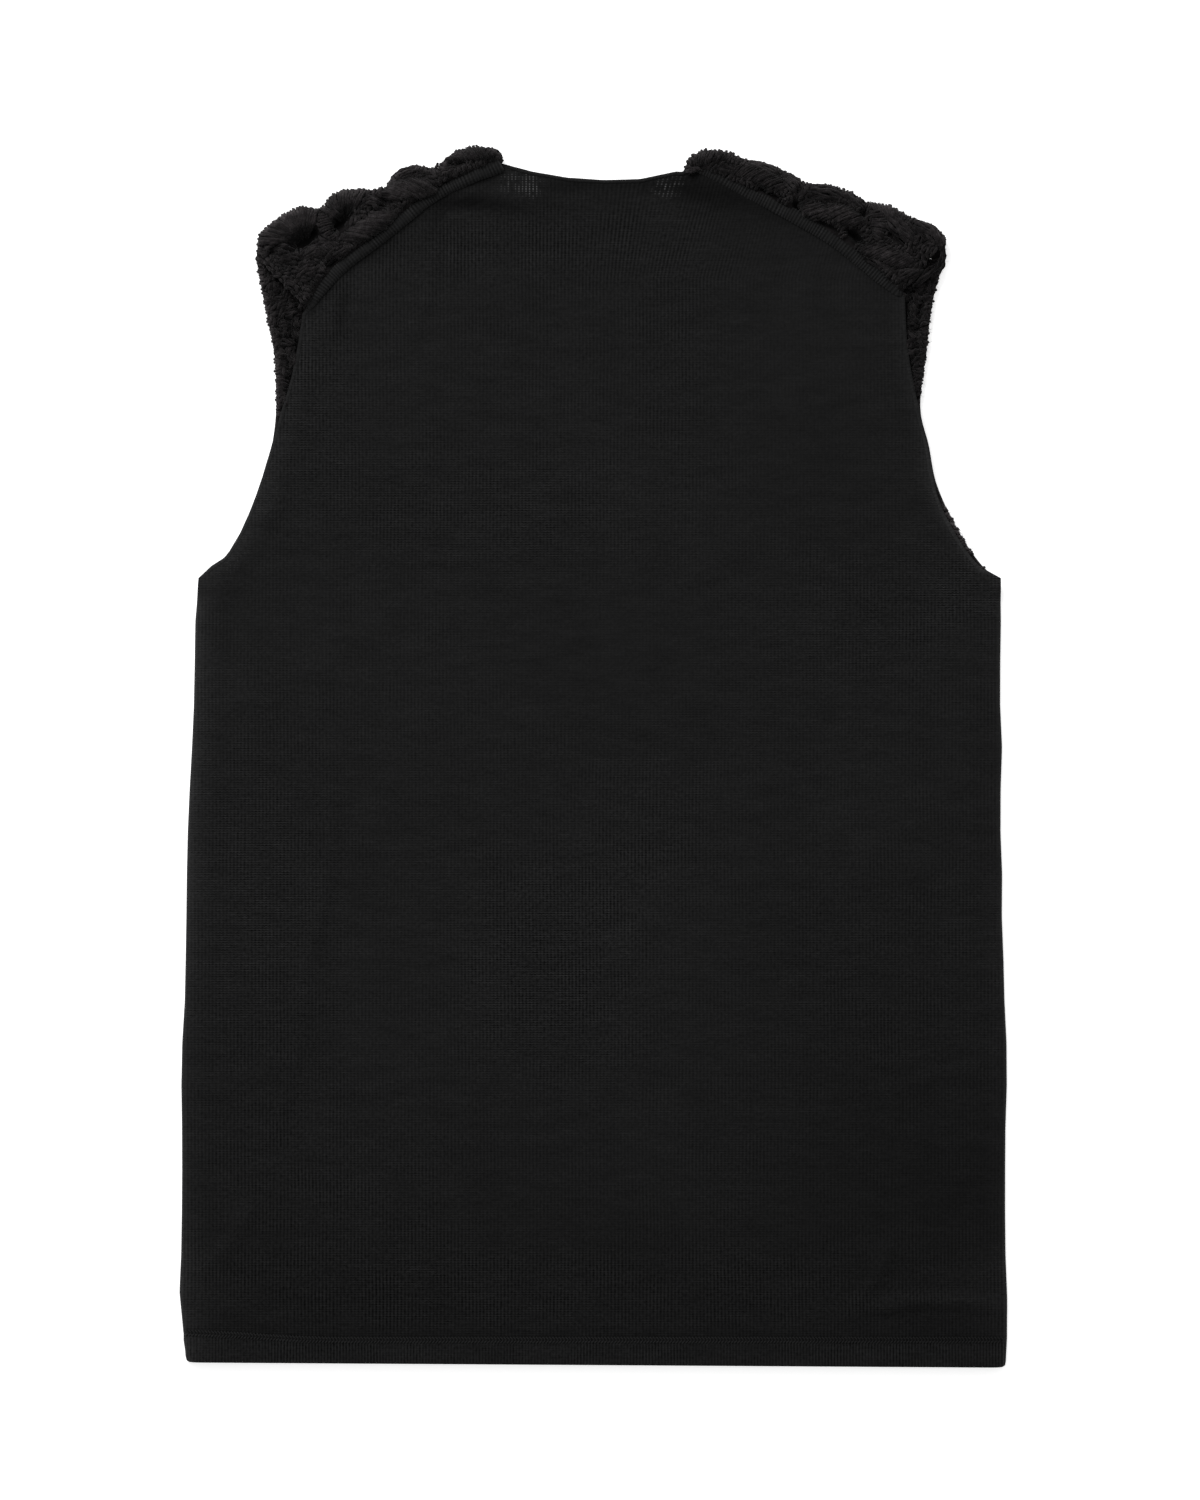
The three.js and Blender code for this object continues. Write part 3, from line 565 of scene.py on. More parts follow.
# Soft creases of the laid jersey, in mm: from one point to another, half-width, height (a groove
# where it is negative).
CREASES = np.array([
    (-86, 328, -40, 321, 4.0, 1.8),
    (-94, 316, -104, 250, 3.5, 1.0),
    (-82, 310, -88, 268, 3.5, 0.9),
    (-112, 288, -106, 242, 3.0, 0.8),
    (-149, 279, -156, 243, 4.0, 1.6),
    (60, 340, 96, 322, 5.0, 1.0),
    (-185, 166, -106, 162, 3.0, 0.7),
    (-108, 116, -58, 109, 4.0, 0.8),
    (-70, 101, -18, 92, 4.0, 0.8),
    (-88, 55, -46, 57, 3.0, 0.8),
    (-73, 18, 46, 14, 3.5, 0.6),
    (-61, 8, -2, 6, 3.0, 0.6),
    (88, -15, 188, -17, 3.5, 0.6),
    (-129, 78, -128, -2, 2.4, -0.6),
    (149, 134, 143, 62, 2.4, -0.6),
    (143, 64, 137, 14, 2.4, -0.6),
    (137, 16, 135, -106, 2.4, -0.4),
    (102, -14, 103, -62, 2.4, -0.4),
    (23, -76, 24, -132, 2.6, -0.4),
    (3, 128, -7, 84, 3.0, -0.5),
    (-154, -4, -173, -132, 3.4, 1.5),
    (-172, -126, -188, -220, 4.0, 1.2),
    (-246, -191, -212, -199, 4.0, 2.4),
    (-200, -262, -239, -308, 5.0, 1.8),
    (-137, -246, -142, -267, 3.0, 0.9),
    (174, -281, 149, -326, 4.0, 2.0),
    (156, -323, 250, -324, 4.0, 3.4),
    (166, -158, 183, -238, 3.0, -0.5),
    (182, -189, 244, -187, 3.2, 0.9),
    (206, -247, 244, -249, 4.0, 1.1),
    (170, 105, 200, 96, 4.0, 0.8),
    (178, 80, 208, 71, 4.0, 0.9),
    (-216, 35, -184, 29, 4.0, 0.9),
    (-170, 2, -130, 1, 3.6, 0.6),
    (60, -40, 12, -118, 12.0, 0.7),
    (-60, -150, 40, -176, 14.0, 0.6),
    (-190, 60, -120, 20, 14.0, 0.6),
    (170, 120, 120, 60, 12.0, 0.6),
])

# Soft painted light and painted shade on the jersey, such as shadows beside the seams, below the
# neckline and along the creases, in mm: middle, half-length, half-width, turn, amount.
PAINTED_LIGHT_AND_SHADE = np.array([
    (62, 332, 27, 8.0, -14, -0.50),
    (74, 319, 40, 8.0, -14, -0.13),
    (96, 322, 22, 5.0, -28, -0.18),
    (-63, 342, 12, 5.0, 22, -0.30),
    (-66, 323, 24, 4.0, -8, -0.30),
    (-120, 298, 26, 4.5, 38, -0.14),
    (-149, 264, 15, 4.5, 78, -0.26),
    (-79, 325, 15, 4.0, 8, -0.36),
    (-46, 324, 30, 5.0, -5, -0.18),
    (-94, 312, 16, 4.0, 65, -0.22),
    (0, 334, 46, 3.6, 0, -0.34),
    (178, -225, 75, 80, 0, -0.20),
    (-232, -312, 16, 30, 0, 0.22),
    (230, -312, 12, 30, 0, 0.16),
    (212, 85, 22, 45, 0, 0.12),
    (150, -110, 70, 50, 0, -0.11),
    (-185, -171, 50, 45, 0, -0.09),
    (-150, -316, 60, 20, 0, -0.08),
    (222, -262, 34, 34, 0, -0.08),
    (208, -317, 44, 4, 0, 0.08),
    (208, -331, 46, 5, 0, -0.12),
    (90, -300, 90, 26, 0, -0.05),
    (-150, -300, 60, 26, 0, -0.04),
    (40, 150, 60, 25, 0, 0.05),
    (40, -95, 50, 30, 0, 0.06),
])

# Light on the jersey by height, and how much its rows show: y in mm, shade, rows.
LIGHT = np.array([
    (-345, 0.94, 0.6), (-310, 0.96, 0.6), (-230, 1.07, 0.6), (-170, 1.12, 0.8), (-100, 1.08, 1.0),
    (0, 1.02, 0.9), (60, 1.0, 0.95), (120, 0.94, 1.1), (180, 0.93, 0.8), (240, 0.91, 0.5),
    (285, 0.87, 0.4), (325, 0.78, 0.35), (350, 0.75, 0.3),
])

# Sheer patches beside the neckline and along the left armhole, whose holes are painted light as the
# white floor seen through, in mm: middle, half-length, half-width, turn, amount.
SHEER_PAINTED_LIGHT = np.array([
    (-44, 336.0, 11, 6.0, -5, 0.6),
    (-37, 334.5, 4, 6.5, 0, 0.7),
    (43, 334.0, 8, 4.5, 15, 0.8),
    (-191, 148, 16, 4, 64, 0.12),
    (-212, 112, 12, 4, 40, 0.16),
    (-179, 186, 14, 3, 74, 0.08),
])

# How clear the knit shows, more or less than elsewhere, in mm: middle, half-length, half-width,
# turn, amount.
CLEAR = np.array([
    (-47, 303, 108, 23, 0, 0.5),
    (-169, 245, 88, 26, 90, 0.6),
    (-70, 148, 88, 32, 0, 0.4),
    (44, 239, 70, 20, 90, 0.25),
    (126, 233, 100, 52, 90, -0.3),
    (3, 63, 65, 40, 0, -0.3),
    (-179, 86, 40, 35, 0, -0.1),
    (167, 86, 47, 41, 0, 0.35),
    (-190, -107, 130, 41, 90, 0.5),
    (-23, -119, 53, 64, 0, 0.75),
    (32, -48, 35, 35, 0, 0.35),
    (173, -130, 64, 70, 0, 0.3),
    (-149, -271, 76, 64, 0, 0.4),
    (3, -312, 234, 26, 0, 0.6),
    (79, -262, 18, 60, 0, 0.2),
    (222, 98, 24, 18, 0, 0.5),
])


def in_ellipse(x, y, x0, y0, long, wide, turn):
    """Places along and across a turned ellipse, as shares of its half-length and half-width."""
    c, s = math.cos(math.radians(turn)), math.sin(math.radians(turn))
    return ((x - x0) * c + (y - y0) * s) / long, ((y - y0) * c - (x - x0) * s) / wide


def spots(x, y, rows):
    """Sum of soft ellipses: amount * exp(-|along|^3 - |across|^3)."""
    total = np.zeros(x.shape)
    for *ellipse, amount in rows:
        along, across = in_ellipse(x, y, *ellipse)
        total += amount * np.exp(-np.abs(along) ** 3 - np.abs(across) ** 3)
    return total


def hem_line(x):
    """Height of the linked row above the hem: it climbs a little at its left end."""
    return -341.0 + 4.2 * (1 - smooth(x, -246, -150))


def jersey_look(x, y):
    """Shade and clearness of the jersey at places in plan, with rows that run from side to side.

    The shade is painted light and shade: the table of light by height, the painted spots, a painted
    shadow beside each shoulder seam, a painted lit rim and a painted line of shade along both sides, more
    painted light at the low end of each armhole, and a painted shadow above the hem's linking.
    """
    left, right = x - x[:, :1], x[:, -1:] - x
    # Painted light and shade: light by height, a little lighter towards the top, and the painted spots.
    shade = (1 + spots(x, y, PAINTED_LIGHT_AND_SHADE)) * np.interp(y, LIGHT[:, 0], LIGHT[:, 1]) * (1 + 0.10 * y / 350)
    # Painted shadow on the jersey beside each raised seam.
    for side, seam in SEAMS.items():
        near = np.maximum(distance_to(together(x, y), ridge_line(side)) - seam["half"], 0)
        shade *= 1 - seam["shadow"] * np.exp(-(near / 2.4) ** 1.5)
    # Painted light on the side rims and the armholes' low ends; painted shade inside the rims and above
    # the hem.
    waist = smooth(y, -150, -60) * (1 - smooth(y, 90, 130))
    rim = 0.2 + 0.34 * waist + 0.25 * (1 - smooth(y, -310, -240))
    armhole = smooth(y, 95, 110) * (1 - smooth(y, 150, 230))
    shade += rim * bell(left, 10) - 0.05 * bell(left - 17, 4)
    shade += 0.18 * bell(right, 7) - 0.05 * bell(right - 13, 4)
    shade += 0.5 * armhole * (bell(left, 7) + bell(right, 5))
    shade -= 0.12 * bell(y - hem_line(x) - 4, 2.6)
    return {"shade": shade, "sheer_painted_light": spots(x, y, SHEER_PAINTED_LIGHT), "clear": 0.5 + spots(x, y, CLEAR),
            "rows": np.interp(y, LIGHT[:, 0], LIGHT[:, 2])}


def knit_places(x, y):
    """UV places in m: the wales stand upright, and fan out towards the right end of the neckline."""
    fan = 0.26 * smooth(x, -30, 70) * np.clip(y - 280, 0, None)
    return together(x - fan, y) * MM


def crease_height(x, y):
    """Sum of soft ridges: height * exp(-((across - bow) / width)^2), faded out over both ends."""
    total = np.zeros_like(x)
    for x0, y0, x1, y1, wide, high in CREASES:
        along = np.array((x1 - x0, y1 - y0))
        length = np.linalg.norm(along)
        along /= length
        run = (x - x0) * along[0] + (y - y0) * along[1]
        across = -(x - x0) * along[1] + (y - y0) * along[0]
        bow = 0.06 * length * np.sin(math.pi * np.clip(run / length, 0, 1))
        start = smooth(run, -0.15 * length, 0.25 * length)
        end = 1 - smooth(run, 0.75 * length, 1.15 * length)
        total += high * start * end * bell(across - bow, wide)
    return total


def jersey_section(distance, width, amount, top, floor, roll):
    """Height of a jersey piece: flat, with a quarter ellipse down to the floor gap at each side."""
    near = np.minimum(distance, width - distance)
    return top - amount * (top - floor) * (1 - quarter(near / roll))


def back_patch(settings):
    """Plan of the jersey back, rows by columns, in mm, and its shares across."""
    tops = [box_mm(f"shoulder_binding_{side}")[0][1] for side in ("left", "right")]
    plan, us, _ = laid_plan(
        "back_panel", settings.mesh_step / MM, settings.roll / MM, 1e-3, 0.63, settings.underarm / MM,
        tops, 900, False)
    low = box_mm("back_panel")[0][1]
    rise = hem_line(plan[..., 0]) + 0.1 - low
    plan[..., 1] += rise * (1 - smooth(plan[..., 1], low, low + 60))
    return plan, us


class VEST_OT_back(bpy.types.Operator):
    """Makes the fine jersey back: straight rows between the solid's edges, rolled down at the sides"""
    bl_idname = "vest.back"
    bl_label = "Jersey back"

    def execute(self, context):
        settings = context.scene.vest_jersey
        low, high = box_mm("back_panel")
        plan, us = back_patch(settings)
        x, y = plan[..., 0], plan[..., 1]
        width = (x[:, -1] - x[:, 0])[:, None]
        rolled = 1 - smooth(y[:, :1], 88, 103)
        z = jersey_section(us[None] * width, width, rolled, high[2], low[2], settings.roll / MM)
        inside = smooth(np.minimum(us, 1 - us)[None] * width, 2, 30)
        z = z + crease_height(x, y) * np.maximum(inside, 0.3)
        piece = make_object(
            "jersey_back", together(x, y, z), grid_faces(*x.shape), jersey_material(settings),
            knit_places(x, y), jersey_look(x, y), "back_panel")
        thicken(piece, settings.thickness)
        return {"FINISHED"}


class VEST_OT_hem(bpy.types.Operator):
    """Makes the turned-up hem band and the linked row of chevron stitches along its top"""
    bl_idname = "vest.hem"
    bl_label = "Hem band"

    node = "back_hem_band"
    fold_radius = 1.2
    corner_radius = 2.6
    stitch_pitch = 1.9
    stitch_radius = 0.42

    def execute(self, context):
        settings = context.scene.vest_jersey
        low, high = box_mm(self.node)
        self.band(settings, low, high)
        self.linking(settings, low, high)
        return {"FINISHED"}

    def band(self, settings, low, high):
        """The band, rows by columns: a quarter round at the hem, then flat up to the linked row."""
        us = edge_shares(high[0] - low[0], settings.mesh_step / MM, settings.roll / MM)
        xs = low[0] + us * (high[0] - low[0])
        hem = cut_solid(self.node, 0, np.clip(xs, low[0] + 4, high[0] - 4))[0]
        fold = np.linspace(0, math.pi / 2, 6)[:-1]
        radius = self.fold_radius
        turned = hem[None] + radius * (1 - np.cos(fold[:, None]))
        flat = hem + radius + (hem_line(xs) - hem - radius) * np.linspace(0, 1, 8)[:, None]
        y = np.concatenate([turned, flat])
        rise = np.concatenate([-radius * (1 - np.sin(fold)), np.zeros(8)])
        bend = self.corner_radius
        corner = bend - np.sqrt(bend ** 2 - np.clip(bend - (y - hem), 0, bend - 0.1) ** 2)
        ys = np.linspace(low[1] + 3.1, high[1] - 0.01, 60)
        left, right = cut_solid(self.node, 1, ys)
        x_left = np.interp(y, ys, left) + corner
        width = np.interp(y, ys, right) - corner - x_left
        x = x_left + us[None] * width
        z = jersey_section(us[None] * width, width, 1.0, high[2], low[2], settings.roll / MM)
        z = z + rise[:, None] * (z - low[2]) / (high[2] - low[2]) + 0.8 * crease_height(x, y)
        look = jersey_look(x, y)
        look["shade"] *= 1.15
        look["clear"] += 0.45
        look["rows"] *= 0.4
        piece = make_object(
            "hem_band", together(x, y, z), grid_faces(*x.shape), bpy.data.materials["fine_black_jersey"],
            together(x * 1.15, y) * MM, look, self.node)
        thicken(piece, settings.thickness)

    def linking(self, settings, low, high):
        """The linked row: a low half-round strip, and over it two rows of short slanted strands.

        Share t of a strand lies at (x + 1.5 t - 0.8, y + side * 1.9 (1 - t)), raised by
        0.4 sin(pi (0.1 + 0.8 t)) - 0.15.
        """
        middle = np.arange(low[0] + 2.4, high[0] - 2.4, self.stitch_pitch)
        row = hem_line(middle) + 0.2
        edge = np.minimum(middle - low[0], high[0] - middle)
        level = jersey_section(edge, 1e3, 1.0, high[2], low[2], settings.roll / MM) - 0.1
        level = level + crease_height(middle, hem_line(middle))
        arch = np.linspace(0, math.pi, 7)
        profile = np.tile(together(1.6 * np.cos(arch), 0.5 * np.sin(arch)), (len(middle), 1, 1))
        strip = sweep(together(middle, row, level - 0.35), profile).reshape(-1, 3)
        faces = swept_faces(len(middle), len(arch))
        parts = [(strip, faces, tuple(strip[f][..., :2] * MM for f in faces))]
        t = np.linspace(0, 1, 6)
        for side in (-1, 1):
            path = together(
                middle[:, None] + 1.5 * t - 0.8,
                row[:, None] + side * 1.9 * (1 - t),
                level[:, None] - 0.15 + 0.4 * np.sin(math.pi * (0.1 + 0.8 * t)))
            parts.append(tubes(path, np.full(path.shape[:2], self.stitch_radius),
                               np.tile([0.0, 1.0, 0.0], (len(middle), 1)), 5))
        points, faces, uv = join(parts)
        # Painted shade: the strip below the strands is dark, as the shade between them; the row darkens to
        # the right.
        shade = np.interp(points[:, 0], (60, 200), (1.2, 0.95))
        shade[:len(strip)] *= 0.4
        make_object(
            "hem_linking", points, faces, rib_material(settings, "black_linking", 1.4 * MM, 0.3, 1.3),
            uv, {"shade": shade}, self.node)


# ------------------------------------------------------------------ seams and trims

# The raised seam of each side, in mm: half-width, height as a share of its solid's, its widening at
# the neck end, how dark the painted shadow on the jersey beside it is, and as it runs from the neck
# end, how far it lies from the middle of its solid towards the crochet.
SEAMS = {
    "left": {"half": 3.5, "flat": 0.6, "neck": 1.45, "shadow": 0.24, "ridge": np.array([
        (0, -0.8), (22, -2.6), (40, -3.5), (60, -3.4), (76, -2.7), (96, -3.6), (116, -2.9),
        (150, -1.2)])},
    "right": {"half": 3.9, "flat": 0.5, "neck": 0.8, "shadow": 0.14, "ridge": np.array([
        (0, 1.8), (12, 0.8), (24, -0.5), (36, -1.6), (62, -1.5), (90, -1.9), (110, -2.0),
        (150, -1.2)])},
}


def seam_line(name):
    """Centre line of a shoulder seam, halfway between the two edges of its solid, neck end first."""
    low, high = box_mm(name)
    xs = np.linspace(low[0] + 2.6, high[0] - 1.2, 160)
    bottom, top = cut_solid(name, 0, xs)
    line = together(xs, (bottom + top) / 2)
    return line if low[0] > 0 else line[::-1]


def ridge_line(side):
    """Line of the raised seam of one side: its solid's centre line, moved across it by the table."""
    line = seam_line(f"shoulder_binding_{side}")
    ridge = SEAMS[side]["ridge"]
    step = unit(np.gradient(line, axis=0))
    normal = left_of(step) * np.sign(step[:, :1])
    moved = line + np.interp(arc_length(line), ridge[:, 0], ridge[:, 1])[:, None] * normal
    if side == "right":
        moved = np.concatenate([moved[:1] - 4.0 * step[:1], moved])
    return moved


class VEST_OT_seams(bpy.types.Operator):
    """Makes the two raised ribbed seams: a rounded profile carried along each shoulder, with ribs"""
    bl_idname = "vest.seams"
    bl_label = "Shoulder seams"

    def execute(self, context):
        settings = context.scene.vest_jersey
        material = rib_material(settings, "black_rib_seam", settings.rib, 0.75)
        for side, seam in SEAMS.items():
            node = f"shoulder_binding_{side}"
            low, high = box_mm(node)
            path = evenly(ridge_line(side), 640)
            run = arc_length(path)
            angle = np.linspace(-0.25, math.pi + 0.25, 15)
            across, up = np.cos(angle), np.maximum(np.sin(angle), -0.1)
            ribbed = run + 0.5 * np.sin(run / 6.3) + 0.3 * np.sin(run / 2.7 + 1)
            rib = 0.12 * np.cos(TURN * ribbed[:, None] / (settings.rib / MM))
            taper = seam["neck"] + (1 - seam["neck"]) * smooth(run, 0, 18)
            taper = taper - 0.42 * smooth(run, run[-1] - 20, run[-1])
            wide = seam["half"] * ((1 + 0.06 * np.sin(run / 9.0)) * taper)[:, None]
            swell = (1 + 0.08 * np.sin(run / 13.0 + 1)) * np.minimum(taper, 1) ** 1.5
            tall = seam["flat"] * (high[2] - low[2]) * swell[:, None]
            close = rounded_ends(run, 1.6)
            points = sweep(raised(path, np.full(len(path), low[2])),
                           together(across * (wide + rib) * close, up * (tall + rib) * close))
            make_object(
                f"shoulder_seam_{side}", points, swept_faces(*points.shape[:2]), material,
                together(ribbed[:, None], angle[None] * 2.75) * MM,
                {"shade": np.ones(points.shape[:2])}, node)
        return {"FINISHED"}


class VEST_OT_trims(bpy.types.Operator):
    """Makes the rolled neck edge and the narrow armhole hems: half ellipses carried along the edges"""
    bl_idname = "vest.trims"
    bl_label = "Neck and armhole edges"

    neck_corner = ((50.6, 342.6), (52.8, 343.6), (54.6, 345.4))

    def execute(self, context):
        settings = context.scene.vest_jersey
        material = rib_material(settings, "black_edge_band", 2.1 * MM, 0.3, 1.25)
        plan, _ = back_patch(settings)
        low, high = box_mm("neck_trim")
        neck = plan[-1]
        neck = neck[(neck[:, 0] > low[0] - 0.8) & (neck[:, 0] < high[0] - 4)]
        neck = np.concatenate([neck, self.neck_corner])
        self.band("neck_edge", "neck_trim", neck, 2.2, 1.3, 1, 0, material)
        for side, line, turn in (("left", plan[:, 0], 1), ("right", plan[:, -1], -1)):
            node = f"armhole_binding_{side}"
            line = line[line[:, 1] > box_mm(node)[0][1] - 3]
            line = np.concatenate([line, ridge_line(side)[-8:-1][::-1]])
            self.band(f"armhole_edge_{side}", node, line, 2.3, 0.75, turn, 0.8, material)
        return {"FINISHED"}

    def band(self, name, node, line, wide, tall, turn, glow, material):
        """A narrow rounded band: a half ellipse carried along an edge, inwards, lit at its low end."""
        path = evenly(line, 220)
        path = raised(path, np.full(len(path), box_mm("back_panel")[1][2] - 0.4))
        run = arc_length(path)
        angle = np.linspace(-0.5, math.pi + 0.5, 9)
        close = rounded_ends(run, 2.0)
        wave = 1 + 0.08 * np.sin(run / 5.3)[:, None]
        points = sweep(path, together(
            turn * wide / 2 + np.cos(angle)[None] * wide / 2 * close * wave,
            np.sin(angle)[None] * tall * close * wave))
        # Painted light: glow makes the band lighter towards the low end of the armholes.
        make_object(
            name, points, swept_faces(*points.shape[:2]), material,
            together(run[:, None], angle[None] * wide / 2) * MM,
            {"shade": 1 + glow * (1 - smooth(points[..., 1], 150, 240))}, node)


# ------------------------------------------------------------------ crochet front

def puff_field(x, y):
    """Relief of the crochet from 0 to 1: staggered rows of puffs, each a half-ellipsoid.

    A row is 19 mm high and a puff 30 mm long; every second row is moved by half a puff.
    """
    row = np.floor(y / 19.0)
    across = (y / 19.0 - row) * 2 - 1
    shifted = x / 30.0 + 0.5 * np.mod(row, 2) + 0.07 * np.sin(row * 2.4)
    along = (shifted - np.floor(shifted)) * 2 - 1
    return np.sqrt(np.clip(1 - (along / 0.97) ** 2 - (across / 0.95) ** 2, 0, 1))


class VEST_OT_front(bpy.types.Operator):
    """Makes the crochet front: two faces in puffs that share their rim, the lower one in deeper puffs"""
    bl_idname = "vest.front"
    bl_label = "Crochet front"

    thick = 5.6
    rim_height = 2.4
    rim_bend = 5.2
    underarm = 102.5
    tops = (291.3, 289.3)

    def execute(self, context):
        settings = context.scene.vest_crochet
        low, high = box_mm("front_panel")
        plan, us, vs = laid_plan(
            "front_panel", settings.mesh_step / MM, 6.0, 0.01, 0.62, self.underarm, self.tops, 1600, True)
        x, y = plan[..., 0], plan[..., 1]
        distance = np.minimum(np.minimum(us, 1 - us)[None] * (high[0] - low[0]), y - y[:1])
        distance = np.minimum(distance, (1 - vs)[:, None] * len(vs))  # each row counts as 1 mm here
        rounded = quarter(distance / self.rim_bend)
        relief = puff_field(x, y)
        middle = self.rim_height
        under = middle * (1 - rounded) + rounded * 2.0 * (1 - relief)
        upper = middle + rounded * (self.thick - middle) - 0.6 * (1 - relief) * rounded
        rim = np.ones(x.shape, bool)
        rim[1:-1, 1:-1] = False
        points = np.concatenate([
            together(x, y, np.where(rim, middle, height)).reshape(-1, 3) for height in (under, upper)])
        lower_index = np.arange(x.size)
        upper_index = np.where(rim.ravel(), lower_index, lower_index + x.size)
        faces = grid_faces(*x.shape)
        faces = np.concatenate([faces[:, ::-1], upper_index[faces]])
        used, renumbered = np.unique(faces, return_inverse=True)
        # Painted light near the rim of both faces, and painted shade on the upper face under the armhole
        # strands.
        edge_light = 1.6 * (1 - smooth(distance, 0, 3.5)).ravel()
        shade = np.concatenate([1.0 + 0.6 * edge_light, 0.4 + edge_light])
        make_object(
            "crochet_front", points[used], renumbered.reshape(-1, 4), crochet_material(settings),
            None, {"shade": shade[used]}, "front_panel")
        return {"FINISHED"}


# ------------------------------------------------------------------ crochet shoulders

# One strand of the chunky yarn and one hair of its fuzz: sizes in mm, sides, and hairs on a piece.
STRAND = {"radius": 0.85, "sides": 6, "gap": 1.4}
HAIR = {"radius": 0.10, "sides": 3, "length": 3.0, "each": 3500}
# Painted light: the hairs are lighter than the yarn, as a light fringe.
HAIR_SHADE = 1.6

SHEET = {"upper": 9.2, "lower": 2.7, "thick": 3.0, "bend": 5.0}  # heights of the folded crochet, mm

# Pockets between the puffs, mm: middle, half-length, half-width, turn of the long side, depth.
POCKETS = {
    "left": np.array([
        (-170.5, 302.5, 12, 7.0, 30, 5.2),
        (-147.5, 315.0, 11, 5.0, 55, 5.0),
        (-123.5, 325.0, 6, 3.5, 60, 3.5),
        (-83.0, 347.5, 9, 3.5, 8, 2.4),
        (-187.0, 297.5, 7, 2.5, 40, 2.4),
        (-154.0, 290.0, 6, 3.5, 40, 3.0),
    ]),
    "right": np.array([
        (101.0, 331.0, 13, 2.8, -27, 2.2),
        (118.5, 322.5, 5, 4.0, -35, 3.6),
        (137.0, 311.0, 12, 2.6, -28, 1.8),
        (152.0, 304.5, 8, 4.5, -40, 4.6),
        (157.5, 319.0, 5, 3.0, 60, 3.0),
        (176.5, 304.0, 9, 3.5, -38, 3.0),
        (120.5, 334.0, 3, 6.0, -30, 3.0),
    ]),
}

# Puffs of side-by-side strands, mm: start, middle and end of the puff's line, its width and its
# rise.
PUFFS = {
    "left": np.array([
        (-171.5, 290.0, -163.5, 297.0, -151.0, 301.5, 7.5, 2.6),
        (-190.0, 296.0, -183.0, 298.5, -175.5, 295.5, 7.0, 2.6),
        (-186.0, 290.0, -179.0, 291.5, -170.5, 290.0, 6.0, 2.2),
        (-136.0, 323.5, -129.5, 325.5, -122.0, 321.5, 7.5, 2.8),
        (-119.5, 335.0, -111.0, 342.0, -98.5, 342.0, 7.0, 2.2),
        (-93.5, 338.0, -88.0, 342.5, -81.0, 344.5, 7.0, 2.2),
        (-68.0, 353.0, -60.0, 353.5, -54.5, 349.5, 4.5, 1.6),
        (-176.0, 279.0, -168.5, 285.0, -160.5, 287.5, 7.0, 2.4),
        (-160.0, 287.5, -150.0, 296.0, -141.0, 300.0, 6.0, 1.6),
    ]),
    "right": np.array([
        (61.0, 344.0, 73.5, 345.0, 86.0, 340.5, 6.0, 1.6),
        (84.5, 349.0, 98.0, 345.5, 112.0, 338.5, 7.0, 2.2),
        (109.5, 339.0, 117.5, 335.0, 121.5, 326.5, 11.0, 3.6),
        (122.5, 331.0, 134.0, 330.5, 147.0, 325.5, 9.0, 3.4),
        (141.0, 329.0, 150.0, 325.5, 158.0, 319.0, 7.0, 2.2),
        (170.5, 317.5, 178.5, 309.5, 187.0, 301.0, 12.0, 3.6),
        (184.5, 314.5, 196.5, 309.0, 202.5, 299.0, 12.0, 3.4),
        (174.5, 280.5, 183.0, 282.5, 191.5, 286.5, 7.0, 2.4),
        (156.0, 294.0, 167.0, 288.0, 177.0, 279.5, 5.0, 1.6),
        (202.0, 303.0, 204.0, 294.0, 200.5, 285.0, 3.0, 1.0),
        (199.5, 288.0, 193.0, 281.5, 186.0, 276.0, 2.6, 1.0),
    ]),
}

# Rolls wound with a strand, mm: start, middle and end of the roll's line, its width, its rise, and
# how far its turns lean along it.
ROLLS = {
    "left": np.array([
        (-158.5, 322.0, -157.5, 311.0, -151.0, 300.0, 7.5, 3.4, 0.0),
        (-168.0, 291.0, -159.0, 297.0, -149.0, 303.0, 6.5, 2.8, -0.5),
        (-145.5, 300.5, -133.5, 309.0, -118.5, 320.5, 13.0, 4.4, -1.1),
        (-122.0, 325.5, -108.5, 332.5, -93.0, 336.0, 15.0, 4.8, -1.0),
        (-88.0, 348.0, -73.0, 352.5, -58.0, 350.5, 8.0, 3.0, -0.5),
    ]),
    "right": np.array([
        (55.5, 346.5, 66.0, 351.0, 80.0, 348.5, 8.0, 2.6, 0.7),
        (80.5, 344.0, 95.0, 340.0, 111.5, 330.0, 11.0, 3.6, 0.9),
        (121.0, 325.5, 129.0, 320.0, 139.5, 314.0, 11.0, 3.8, 0.9),
        (132.0, 322.5, 143.0, 318.0, 156.0, 310.5, 12.0, 4.2, 0.9),
        (161.5, 323.0, 166.0, 312.0, 163.0, 301.0, 9.0, 3.4, 0.2),
        (154.5, 301.0, 169.5, 294.0, 186.0, 286.0, 11.5, 3.8, 0.9),
    ]),
}

# Fans of strands that come over the fold and meet in a pocket, mm: where they meet, the two ends of
# the fan on the fold in plan, their rise and their number.
FANS = {
    "left": np.array([
        (-169.5, 302.0, -197.0, 300.0, -161.5, 321.5, 2.4, 25),
        (-146.5, 313.0, -160.0, 320.5, -134.0, 333.0, 2.6, 17),
    ]),
    "right": np.array([
        (176.0, 305.5, 160.0, 325.0, 186.0, 315.0, 1.6, 14),
    ]),
}


def domes(x, y, rows):
    """Sum of hollows: depth * (1 - along^2 - across^2)^0.75 inside each ellipse."""
    total = np.zeros(x.shape)
    for *ellipse, deep in rows:
        along, across = in_ellipse(x, y, *ellipse)
        total += deep * np.clip(1 - along ** 2 - across ** 2, 0, 1) ** 0.75
    return total


